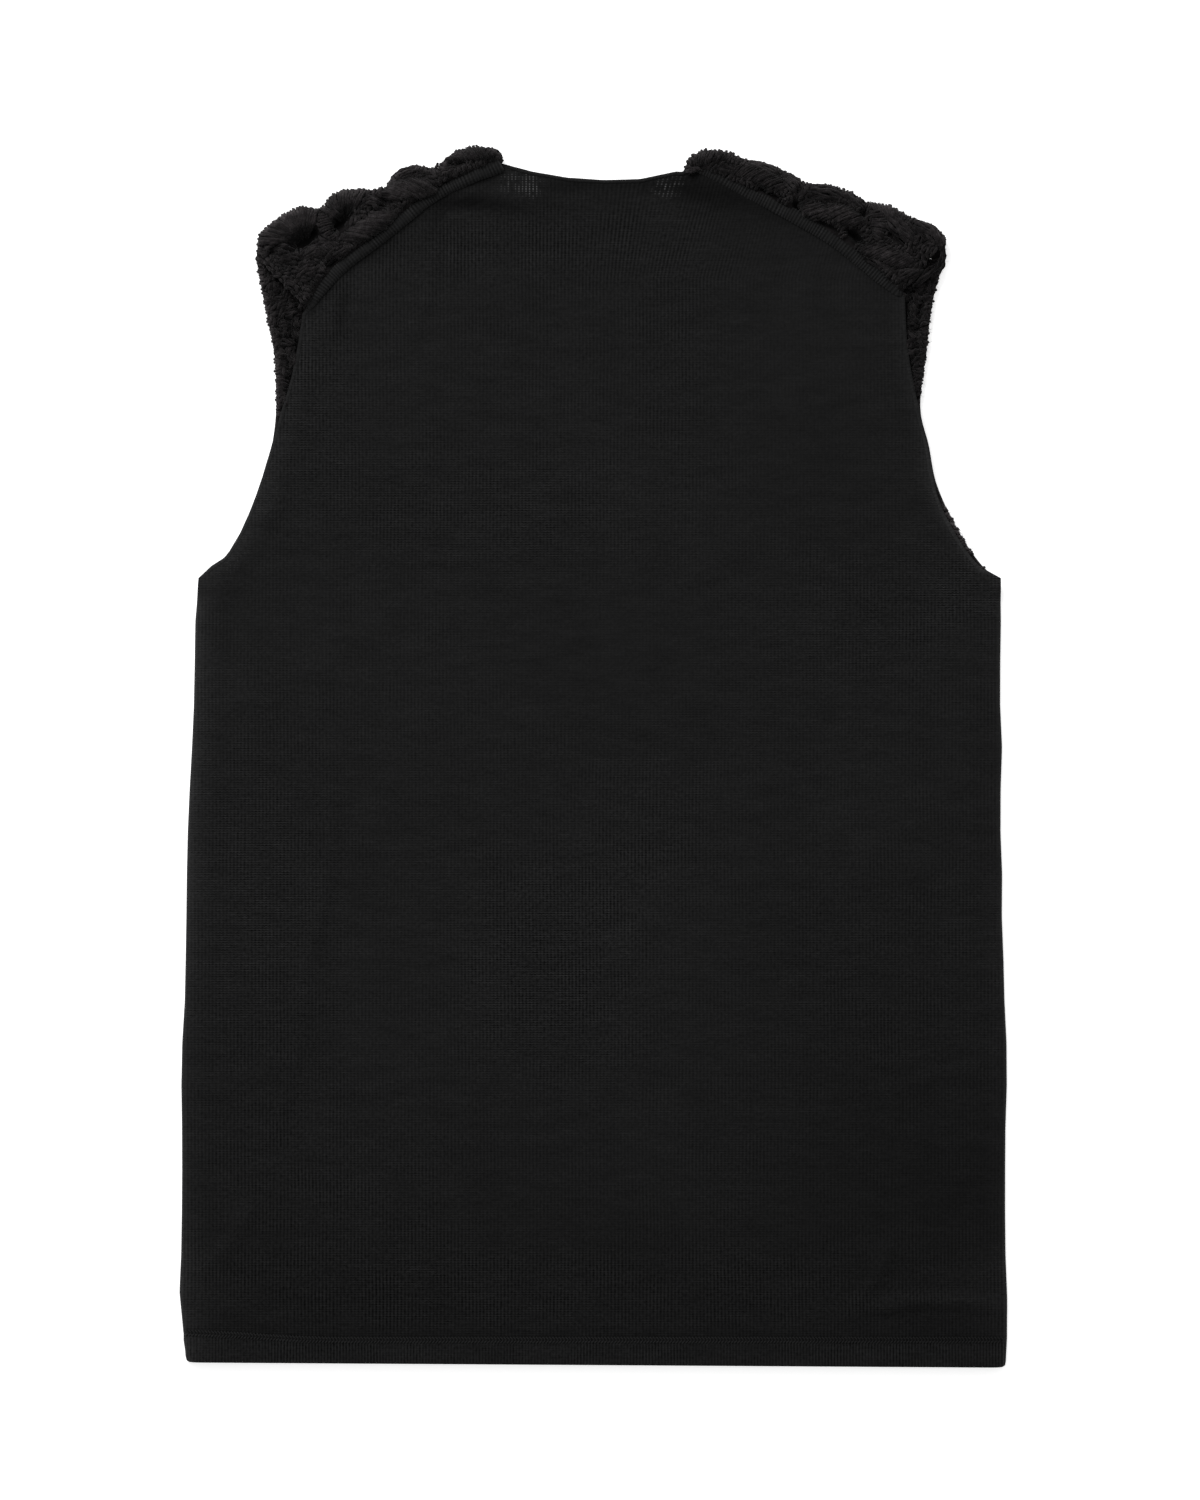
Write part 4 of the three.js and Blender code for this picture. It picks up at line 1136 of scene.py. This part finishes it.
class Shoulder:
    """Plan lines and heights of one shoulder, where the crochet front turns over to meet the back."""

    middle = (SHEET["upper"] + SHEET["lower"]) / 2
    rise = (SHEET["upper"] - SHEET["lower"]) / 2
    half = (SHEET["upper"] - SHEET["lower"] + SHEET["thick"]) / 2
    stations = 260

    def __init__(self, name):
        self.side = -1 if name == "left" else 1
        self.node = f"shoulder_yoke_{name}"
        self.pockets = POCKETS[name]
        low, high = box_mm(self.node)
        ends = (high[0], low[0]) if self.side < 0 else (low[0], high[0])
        xs = np.linspace(ends[0] + 0.05 * self.side, ends[1] - 0.05 * self.side, 400)
        fold = evenly(together(xs, cut_solid(self.node, 0, xs)[1]), self.stations)
        seam = seam_line(f"shoulder_binding_{name}")
        out = left_of(np.gradient(seam, axis=0)) * -self.side
        out = np.where(out[:, 1:] < 0, -out, out)
        seam = seam + 0.4 * unit(out)
        seam = seam[self.side * (seam[:, 0] - fold[0, 0]) > 0]
        self.seam = evenly(seam, self.stations)
        shown = (fold[:, 1] > seam[0, 1] - 3) | (self.side * (fold[:, 0] - seam[0, 0]) > 0)
        self.fold = evenly(fold[shown], self.stations)
        inside = xs[60:-60]
        slope, start = np.polyfit(inside, cut_solid("front_panel", 0, inside)[1], 1)
        self.under = evenly(together(xs, slope * xs + start + 0.3), self.stations)

    def ground(self, plan):
        """Height of the crochet below its strands: a quarter ellipse at the fold, then flat, then a dip.

        The pockets are sunk into it.
        """
        bend = 1.5 + SHEET["bend"]
        top = SHEET["upper"] + SHEET["thick"] / 2
        z = self.middle + (top - self.middle) * quarter(distance_to(plan, self.fold) / bend)
        return z - self.dip(plan) - self.relief(plan)

    def dip(self, plan):
        """How far the crochet sinks towards its seam."""
        return 1.6 * (1 - smooth(distance_to(plan, self.seam), 0, 3))

    def relief(self, plan):
        """Depth of the pockets."""
        return domes(plan[..., 0], plan[..., 1], self.pockets)

    def bare(self, plan):
        """Whether a place lies clear of the pockets and of the neck end of the seam."""
        return (self.relief(plan) < 1.2) & (np.linalg.norm(plan - self.seam[0], axis=-1) > 9)

    def inside(self, plan, margin=0.4):
        """Plan places drawn back within the fold."""
        line = self.fold[np.argsort(self.fold[:, 0])]
        limit = np.interp(plan[..., 0], line[:, 0], line[:, 1]) - margin
        x = np.clip(plan[..., 0], line[0, 0] + margin, line[-1, 0] - margin)
        return together(x, np.minimum(plan[..., 1], limit))

    def sheet(self):
        """Middle surface of the folded crochet: lower leg, half ellipse round the fold, upper leg."""
        seam, fold, under = (evenly(line, 120) for line in (self.seam, self.fold, self.under))
        half = SHEET["thick"] / 2
        upper_width = np.linalg.norm(fold - seam, axis=1)
        lower_width = np.linalg.norm(fold - under, axis=1)
        bend = np.minimum(SHEET["bend"], 0.5 * (np.minimum(upper_width, lower_width) - half))
        bend = np.maximum(bend, 0.8)
        turn = np.linspace(-math.pi / 2, math.pi / 2, 11)[:, None]
        lower_steps = np.linspace(0, 1, 14)[:-1, None]
        upper_steps = np.linspace(0, 1, 27)[1:, None]
        upper_share = (half + bend + (upper_width - half - bend) * upper_steps) / upper_width
        lower_share = (lower_width + (half + bend - lower_width) * lower_steps) / lower_width
        fold_way = half + bend * (1 - np.cos(turn))
        to_seam, to_under = seam - fold, under - fold
        plan = np.concatenate([
            fold + lower_share[..., None] * to_under,
            fold + fold_way[..., None] * np.where(turn[..., None] > 0, unit(to_seam), unit(to_under)),
            fold + upper_share[..., None] * to_seam])
        z = np.concatenate([
            np.full(lower_share.shape, self.middle - self.rise),
            np.broadcast_to(self.middle + self.rise * np.sin(turn), fold_way.shape),
            np.full(upper_share.shape, self.middle + self.rise)])
        share = np.concatenate([0 * lower_steps, 0.5 + 0.5 * np.sin(turn), 0 * upper_steps + 1])
        z = z - share * (self.relief(plan) + self.dip(plan))
        return plan, z + (1 - share) * 0.8 * (1 - puff_field(plan[..., 0], plan[..., 1]))


class Strands:
    """Collects strands of yarn over a ground: paths in mm, radii, and a direction across each path.

    ground gives the height of the crochet below at places in plan, and inside draws places in plan
    back within its edge.
    """

    def __init__(self, seed, ground=None, inside=None):
        self.random = np.random.default_rng(seed)
        self.ground, self.inside = ground, inside
        self.parts, self.shades, self.paths = [], [], []

    def add(self, paths, radii, across, level):
        """Tubes along the paths, each ring a little off its place and size, which makes the yarn lumpy.

        level is the height of each station over the ground in mm: low stations are shaded.
        """
        radii = radii * self.random.uniform(0.8, 1.22, paths.shape[:2])
        wander = self.random.uniform(-0.45, 0.45, (len(paths), paths.shape[1] // 3 + 2, 3))
        places = np.linspace(0, wander.shape[1] - 1.001, paths.shape[1])
        before, share = places.astype(int), (places % 1)[:, None]
        paths = paths + wander[:, before] * (1 - share) + wander[:, before + 1] * share
        paths = paths + self.random.uniform(-0.14, 0.14, paths.shape)
        self.parts.append(tubes(paths, radii, across, STRAND["sides"]))
        # Painted shade: the lower a station lies over the ground, the darker it is.
        shade = 0.28 + 0.95 * smooth(np.broadcast_to(level, radii.shape), 0.3, 3.8)
        self.shades.append(np.repeat(shade.ravel(), STRAND["sides"]))
        self.paths.append(paths[:, 1:-1].reshape(-1, 3))

    def puff(self, knots, wide, rise, pinch=0.5):
        """Strands side by side over a puff: they leave a pocket together, spread, arch and meet again.

        Share t along and s across: line(t) + s * width / 2 * (pinch + (1 - pinch) sin(pi t)^0.7),
        raised by (rise + 1) * sin(pi t)^0.6 * sqrt(1 - 0.75 s^2) - 1, with waves and random shifts.
        """
        count = int(round(wide / STRAND["gap"])) + 1
        t = np.linspace(0, 1, 18)
        line = curve_through(knots, t)
        normal = left_of(unit(np.gradient(line, axis=0)))
        s = np.linspace(-1, 1, count)[:, None]
        shift = self.random.uniform(0, 1, (4, count, 1))
        arch = np.sin(math.pi * t)
        swell = arch ** 0.6
        offset = s * wide / 2 * (pinch + (1 - pinch) * arch ** 0.7)
        offset = offset + (shift[3] - 0.5) * 1.6 * (2 * t - 1)
        offset = offset + 0.5 * np.sin(TURN * (1.2 * t + shift[0])) * swell
        plan = self.inside(line + offset[..., None] * normal)
        height = (rise + 1.0) * swell * np.sqrt(1 - 0.75 * s ** 2) * (0.8 + 0.35 * shift[1])
        z = self.ground(plan) - 1.0 + height + 0.4 * np.sin(TURN * (1.7 * t + shift[2]))
        radii = STRAND["radius"] * (0.75 + 0.3 * arch ** 0.5) * (0.8 + 0.35 * shift[0])
        across = np.tile([*normal[9], 0.0], (count, 1))
        self.add(raised(plan, z), radii, across, height)

    def fuzz(self):
        """Fine hairs that stand off the strands: from a strand outwards and up, bent over at the end."""
        places = np.concatenate(self.paths)
        base = places[self.random.choice(len(places), HAIR["each"], replace=False)]
        angle = self.random.uniform(0, TURN, len(base))
        lift = self.random.uniform(0.0, 0.9, len(base))
        out = unit(together(np.cos(angle), np.sin(angle), lift))
        bent = raised(left_of(out), 0 * angle) * self.random.uniform(-0.8, 0.8, (len(base), 1))
        long = HAIR["length"] * self.random.uniform(0.5, 1.0, (len(base), 1, 1))
        t = np.linspace(0, 1, 5)[None, :, None]
        paths = base[:, None] + long * (t * out[:, None] + 0.5 * t ** 2 * bent[:, None])
        paths[..., 2] = np.maximum(paths[..., 2], 0.3)
        radii = np.broadcast_to(HAIR["radius"] * (1 - 0.6 * t[..., 0]), paths.shape[:2])
        self.parts.append(tubes(paths, radii, unit(np.cross(out, (0.3, 0.2, 1.0))), HAIR["sides"]))
        self.shades.append(np.full(radii.size * HAIR["sides"], HAIR_SHADE))

    def over_fold(self, rim, inward, length, rise, dive, middle=Shoulder.middle, half=Shoulder.half):
        """Strands that start below a rounded edge, turn over it and run inwards on top.

        The turn is x = bend (1 - cos a), z = middle + (half + rise / 2) sin a, for a from -55 to 90
        degrees, eased into the top, where they lie at rise * cos(pi / 2 t)^0.6 over the ground, less
        dive * t^3.
        """
        turn = np.radians(np.linspace(-55, 90, 9))
        bend = np.minimum(5.0, 0.5 * length)[:, None]
        run = np.concatenate([
            bend * (1 - np.cos(turn)) - 0.3 + self.random.uniform(-0.5, 0.6, (len(rim), 1)),
            bend + (length[:, None] - bend) * np.linspace(0, 1, 11)[1:]], 1)
        plan = rim[:, None] + run[..., None] * inward[:, None]
        t = np.linspace(0, 1, 10)
        top = self.ground(plan[:, 9:]) + rise * np.cos(math.pi / 2 * t) ** 0.6 - dive * t ** 3
        z = np.concatenate([
            np.broadcast_to(middle + (half + rise * 0.5) * np.sin(turn), (len(rim), 9)), top], 1)
        z[:, :9] = z[:, :9] + (z[:, 9:10] - z[:, 8:9]) * smooth(turn, -0.3, math.pi / 2)
        shift = self.random.uniform(0.8, 1.15, (len(rim), 1))
        taper = np.concatenate([np.linspace(0.7, 1.1, 9), np.linspace(1.1, 0.7, 10)])
        radii = STRAND["radius"] * shift * taper
        across = raised(left_of(inward), np.zeros(len(rim)))
        # Painted shade: the strands darken as they dive into the crochet.
        level = np.concatenate([np.full(9, 3.2), 3.2 - (1 + dive) * t ** (2.6 - 0.5 * dive)])
        self.add(raised(plan, z), radii, across, level)

    def roll(self, knots, wide, rise, lean):
        """A roll wound with a strand, whose turns lean along it.

        Turn a, share t: line(t + lean * side / length) + side across, with side = wide / 2 * swell *
        cos a and swell = sin(pi t)^0.45, raised by (rise + 0.6) * swell * sin(a)^0.8 - 0.5. Where
        sin a is below 0 it counts as 0.
        """
        line = curve_through(knots, np.linspace(0, 1, 60))
        length = arc_length(line)[-1]
        turns = length / 1.5
        t = np.linspace(0, 1, int(turns * 14))
        angle = TURN * turns * t + self.random.uniform(-0.25, 0.25, len(t))
        swell = np.sin(math.pi * np.clip(t, 0.01, 0.99)) ** 0.45
        side = wide / 2 * swell * np.cos(angle)
        share = np.clip(t + lean * side / length, 0.0, 1.0)
        step = resample(unit(np.gradient(line, axis=0)), share)
        plan = self.inside(resample(line, share) + side[:, None] * left_of(step))
        ground = self.ground(plan)
        z = ground - 0.5 + (rise + 0.6) * swell * np.clip(np.sin(angle), 0, 1) ** 0.8
        radii = STRAND["radius"] * (0.9 + 0.15 * np.sin(1.7 * t * turns))
        self.add(raised(plan, z)[None], radii[None], np.array([[0.3, 0.2, 1.0]]), (z - ground)[None])

    def stitches(self, line, pitch, size, rise, keep):
        """A row of V stitches along a line: two short arched strands at every pitch that is kept."""
        count = max(int(arc_length(line)[-1] / pitch), 1)
        place = (np.arange(count) + 0.5) / count
        centre = resample(line, place)
        ahead = resample(line, np.minimum(place + 0.01, 1))
        behind = resample(line, np.maximum(place - 0.01, 0))
        kept = keep(centre)
        if not kept.any():
            return
        centre, step = centre[kept], unit(ahead - behind)[kept]
        turn = self.random.uniform(-0.7, 0.7, len(centre))[:, None]
        step = np.cos(turn) * step + np.sin(turn) * left_of(step)
        normal = left_of(step)
        centre = centre + self.random.uniform(-0.7, 0.7, centre.shape)
        grow = self.random.uniform(0.75, 1.3, (len(centre), 1))
        across = raised(step, np.zeros(len(step)))
        t = np.linspace(0, 1, 9)
        for leg in (-1, 1):
            knots = np.stack([
                centre - normal * size / 2 * grow + step * leg * 0.30 * pitch,
                centre + step * leg * 0.36 * pitch,
                centre + normal * size / 2 * grow + step * leg * 0.06 * pitch], 1)
            plan = curve_through(knots, t)
            ground = self.ground(plan)
            z = ground - 0.7 + (rise + 0.7) * grow * np.sin(math.pi * t) ** 0.6
            radii = STRAND["radius"] * (0.7 + 0.35 * np.sin(math.pi * t)) * np.ones((len(plan), 1))
            self.add(raised(plan, z), radii, across, 1.4 * (z - ground) + 0.8)

    def build(self, name, material, light, node):
        """The strands as one object. light gives a factor on the shade of each point."""
        self.fuzz()
        points, faces, uv = join(self.parts)
        shade = np.concatenate(self.shades) * light(points)
        return make_object(name, points, faces, material, uv, {"shade": shade}, node)


class VEST_OT_shoulders(bpy.types.Operator):
    """Makes each turned-over shoulder: a folded sheet, and on it puffs, rolls, fans and stitches"""
    bl_idname = "vest.shoulders"
    bl_label = "Crochet shoulders"

    # How much painted light lies along each shoulder's fold.
    halo = {"left": 1.3, "right": 0.9}

    def execute(self, context):
        settings = context.scene.vest_crochet
        yarn = yarn_material(settings)
        for name in ("left", "right"):
            shoulder = Shoulder(name)
            self.ground_sheet(name, shoulder)
            strands = Strands(settings.seed + shoulder.side, shoulder.ground, shoulder.inside)
            for row in PUFFS[name]:
                strands.puff(row[:6].reshape(3, 2), *row[6:])
            for row in ROLLS[name]:
                strands.roll(row[:6].reshape(3, 2), *row[6:])
            self.fans(FANS[name], shoulder, strands)
            self.fold_strands(shoulder, strands)
            self.rows(shoulder, strands)
            rim, halo = shoulder.fold[::16], self.halo[name]

            def light(points):
                """Painted light at the fold, and painted shade in the pockets."""
                plan = points[:, :2]
                glow = 1.12 + halo * bell(distance_to(plan, rim), 1.8)
                return glow * (1 - 0.35 * smooth(shoulder.relief(plan), 0.3, 3.0))

            strands.build(f"crochet_yarn_{name}", yarn, light, shoulder.node)
        return {"FINISHED"}

    def ground_sheet(self, name, shoulder):
        """The folded crochet below the strands, with painted shade in its pockets."""
        plan, z = shoulder.sheet()
        # Painted shade in the pockets.
        shade = 1 - 0.9 * smooth(shoulder.relief(plan), 0.2, 2.2)
        sheet = make_object(
            f"crochet_shoulder_{name}", raised(plan, z), grid_faces(*z.shape)[:, ::shoulder.side],
            bpy.data.materials["black_crochet_ground"], None, {"shade": shade}, shoulder.node)
        thicken(sheet, SHEET["thick"] * MM, 0.0)

    def fans(self, rows, shoulder, strands):
        """Strands that come over the fold side by side and meet in a pocket."""
        run = arc_length(shoulder.fold)
        for x, y, x0, y0, x1, y1, rise, count in rows:
            ends = [run[np.linalg.norm(shoulder.fold - p, axis=1).argmin()] for p in ((x0, y0), (x1, y1))]
            rim = resample(shoulder.fold, np.linspace(*ends, int(count)) / run[-1])
            base = np.array((x, y)) + strands.random.uniform(-1.2, 1.2, (int(count), 2))
            strands.over_fold(rim, unit(base - rim), np.linalg.norm(base - rim, axis=1), rise, 3.0)

    def fold_strands(self, shoulder, strands):
        """Short strands over the fold, side by side along it and round the neck corner."""
        length = arc_length(shoulder.fold)[-1]
        share = np.linspace(0, 1, int(length / 1.8))
        share = np.clip(share + strands.random.uniform(-0.9, 0.9, len(share)) / length, 0, 1)
        rim = resample(shoulder.fold, share)
        room = distance_to(rim, shoulder.seam)
        near = (room > 4.5) & (shoulder.side * (rim[:, 0] - shoulder.seam[0, 0]) > -2)
        corner = np.concatenate([rim[:12][~near[:12]], np.linspace(shoulder.fold[0], shoulder.seam[0], 4)])
        corner = corner[corner[:, 1] > shoulder.seam[0, 1] - 3]
        aim = unit(shoulder.seam[18] - corner)
        strands.over_fold(corner, aim, np.full(len(corner), 5.5), 0.4, 1.5)
        step = unit(np.gradient(rim, axis=0))[near]
        rim, room = rim[near], room[near]
        slant = strands.random.uniform(-0.4, 0.7, (len(rim), 1))
        inward = unit(left_of(step) * -shoulder.side + slant * step)
        length = np.minimum(strands.random.uniform(5.0, 9.0, len(rim)), 0.85 * room + 1.0)
        strands.over_fold(rim, inward, length, 0.5, 1.5)

    def rows(self, shoulder, strands):
        """Rows of V stitches beside the seam, as far as the fold."""
        room = np.linalg.norm(shoulder.fold - shoulder.seam, axis=1)
        for offset in np.arange(3.1, 50, 3.4):
            row = shoulder.seam + offset * unit(shoulder.fold - shoulder.seam)
            row = row[room > offset + 4.5]
            if len(row) > 20:
                strands.stitches(row, 3.1, 4.2, 1.2, shoulder.bare)


class VEST_OT_margins(bpy.types.Operator):
    """Makes the crochet that shows past the armholes: scattered puffs, and strands over each edge"""
    bl_idname = "vest.margins"
    bl_label = "Armhole stitches"

    def execute(self, context):
        settings = context.scene.vest_crochet
        strands = Strands(settings.seed + 5)
        ys = np.linspace(104, 291, 400)
        edges = dict(zip((-1, 1), cut_solid("front_panel", 1, ys)))
        for side, edge_x in edges.items():
            self.one_side(strands, side, ys, edge_x)

        def light(points):
            """Painted light at the left edge, and towards the low end of both armholes."""
            x, y = points[:, 0], points[:, 1]
            rim = 1.4 * bell(x - np.interp(y, ys, edges[-1]), 2.6)
            return np.where(x < 0, 1.2 + rim, 1) + 1.6 * (1 - smooth(y, 150, 205))

        yarn = bpy.data.materials["chunky_black_yarn"]
        strands.build("crochet_yarn_armholes", yarn, light, "front_panel")
        return {"FINISHED"}

    def one_side(self, strands, side, ys, edge_x):
        """Puffs turned every way, scattered from a grid, and short strands over the edge."""
        random = strands.random
        back_x = cut_solid("back_panel", 1, ys)[0 if side < 0 else 1]
        edge = together(edge_x, ys)
        reach = side * (edge_x - np.where(np.isfinite(back_x), back_x, side * 175.0))

        def inside(plan):
            limit = side * np.interp(plan[..., 1], ys, edge_x) - 0.7
            return together(side * np.minimum(side * plan[..., 0], limit), plan[..., 1])

        strands.ground = lambda plan: 2.4 + 3.2 * quarter(distance_to(plan, edge) / 5.2)
        strands.inside = inside
        grid = together(*np.meshgrid(np.arange(3.5, 34, 6.2), np.arange(108, 288, 5.6))).reshape(-1, 2)
        grid = grid + random.uniform(-1.2, 1.2, grid.shape)
        x = np.interp(grid[:, 1], ys, edge_x) - side * grid[:, 0]
        shown = side * (x - np.interp(grid[:, 1], ys, back_x)) > 0.5
        for centre in together(x, grid[:, 1])[shown]:
            turn = random.uniform(0, math.pi)
            half = random.uniform(3.2, 5.2) * np.array([math.cos(turn), math.sin(turn)])
            bow = random.uniform(-1.2, 1.2) * np.array([-math.sin(turn), math.cos(turn)])
            knots = np.stack([centre - half, centre + bow, centre + half])
            strands.puff(knots, random.uniform(4.0, 6.0), 1.5, 0.75)
        rim = evenly(edge, int(arc_length(edge)[-1] / 1.7))
        rim = rim[np.interp(rim[:, 1], ys, reach) > 2.6]
        slant = random.uniform(-0.5, 0.5, (len(rim), 1))
        inward = unit(np.concatenate([np.full((len(rim), 1), -side), slant], -1))
        length = np.minimum(5.0, np.interp(rim[:, 1], ys, reach) + 1.0)
        rim = rim + inward * (0.9 * np.abs(np.sin(rim[:, 1:] * math.pi / 5.8)))
        strands.over_fold(rim, inward, length, 0.5, 1.5, 2.8, 2.4)


# ------------------------------------------------------------------ cut sizes, an empty step


class VEST_OT_cut(bpy.types.Operator):
    """Does nothing: it states no cut sizes."""
    bl_idname = "vest.cut"
    bl_label = "Cut sizes"

    def execute(self, context):
        return {"FINISHED"}


# ------------------------------------------------------------------ stage

class VEST_OT_stage(bpy.types.Operator):
    """Makes the pale floor, the soft light and the camera straight above the vest"""
    bl_idname = "vest.stage"
    bl_label = "Stage"

    def execute(self, context):
        settings = context.scene.vest_stage
        scene = context.scene
        half = 15.0
        mesh = bpy.data.meshes.new("floor")
        mesh.from_pydata(
            [(-half, -half, 0), (half, -half, 0), (half, half, 0), (-half, half, 0)], [], [(0, 1, 2, 3)])
        floor = bpy.data.objects.new("floor", mesh)
        scene.collection.objects.link(floor)
        paint = bpy.data.materials.new("white_floor")
        paint.use_nodes = True
        shader = paint.node_tree.nodes["Principled BSDF"].inputs
        shader["Base Color"].default_value = (0.92, 0.92, 0.92, 1)
        shader["Roughness"].default_value = 0.9
        shader["Specular IOR Level"].default_value = 0.1
        shader["Emission Color"].default_value = (1, 1, 1, 1)
        shader["Emission Strength"].default_value = settings.floor_glow
        mesh.materials.append(paint)

        world = bpy.data.worlds.new("studio")
        world.use_nodes = True
        background = world.node_tree.nodes["Background"].inputs
        background["Color"].default_value = (1, 1, 1, 1)
        background["Strength"].default_value = settings.world_light
        scene.world = world

        lamp = bpy.data.lights.new("soft_lamp", "AREA")
        lamp.shape = "RECTANGLE"
        lamp.size, lamp.size_y = 1.2, 1.2
        lamp.energy = settings.lamp_power
        light = bpy.data.objects.new("soft_lamp", lamp)
        light.location = (-0.9, 1.6, 1.4)
        light.rotation_euler = Vector(light.location).to_track_quat("Z", "Y").to_euler()
        scene.collection.objects.link(light)

        lens = bpy.data.cameras.new("camera")
        lens.sensor_width = 36
        lens.lens = lens.sensor_width * settings.camera_height / settings.view_height
        lens.clip_end = 20
        camera = bpy.data.objects.new("camera", lens)
        camera.location = (*settings.view_centre, settings.camera_height)
        scene.collection.objects.link(camera)
        scene.camera = camera
        scene.view_settings.view_transform = "Standard"
        return {"FINISHED"}


class VEST_PT_panel(bpy.types.Panel):
    """Lists the pieces of the vest"""
    bl_idname = "VEST_PT_panel"
    bl_label = "Knitted vest"
    bl_space_type = "VIEW_3D"
    bl_region_type = "UI"
    bl_category = "Vest"

    def draw(self, context):
        for group in ("vest_jersey", "vest_crochet", "vest_stage"):
            settings = getattr(context.scene, group)
            box = self.layout.box()
            for key in settings.__annotations__:
                box.prop(settings, key)
        for operator in OPERATORS:
            self.layout.operator(operator.bl_idname)


SETTINGS = {
    "vest_jersey": VestJerseySettings,
    "vest_crochet": VestCrochetSettings,
    "vest_stage": VestStageSettings,
}
OPERATORS = (
    VEST_OT_back, VEST_OT_hem, VEST_OT_seams, VEST_OT_trims, VEST_OT_front, VEST_OT_shoulders,
    VEST_OT_margins, VEST_OT_cut, VEST_OT_stage)


def register():
    for name, group in SETTINGS.items():
        bpy.utils.register_class(group)
        setattr(bpy.types.Scene, name, PointerProperty(type=group))
    for operator in OPERATORS:
        bpy.utils.register_class(operator)
    bpy.utils.register_class(VEST_PT_panel)


def unregister():
    bpy.utils.unregister_class(VEST_PT_panel)
    for operator in reversed(OPERATORS):
        bpy.utils.unregister_class(operator)
    for name, group in SETTINGS.items():
        delattr(bpy.types.Scene, name)
        bpy.utils.unregister_class(group)


def main():
    register()
    for operator in OPERATORS:
        group, name = operator.bl_idname.split(".")
        getattr(getattr(bpy.ops, group), name)()


if __name__ == "__main__":
    main()
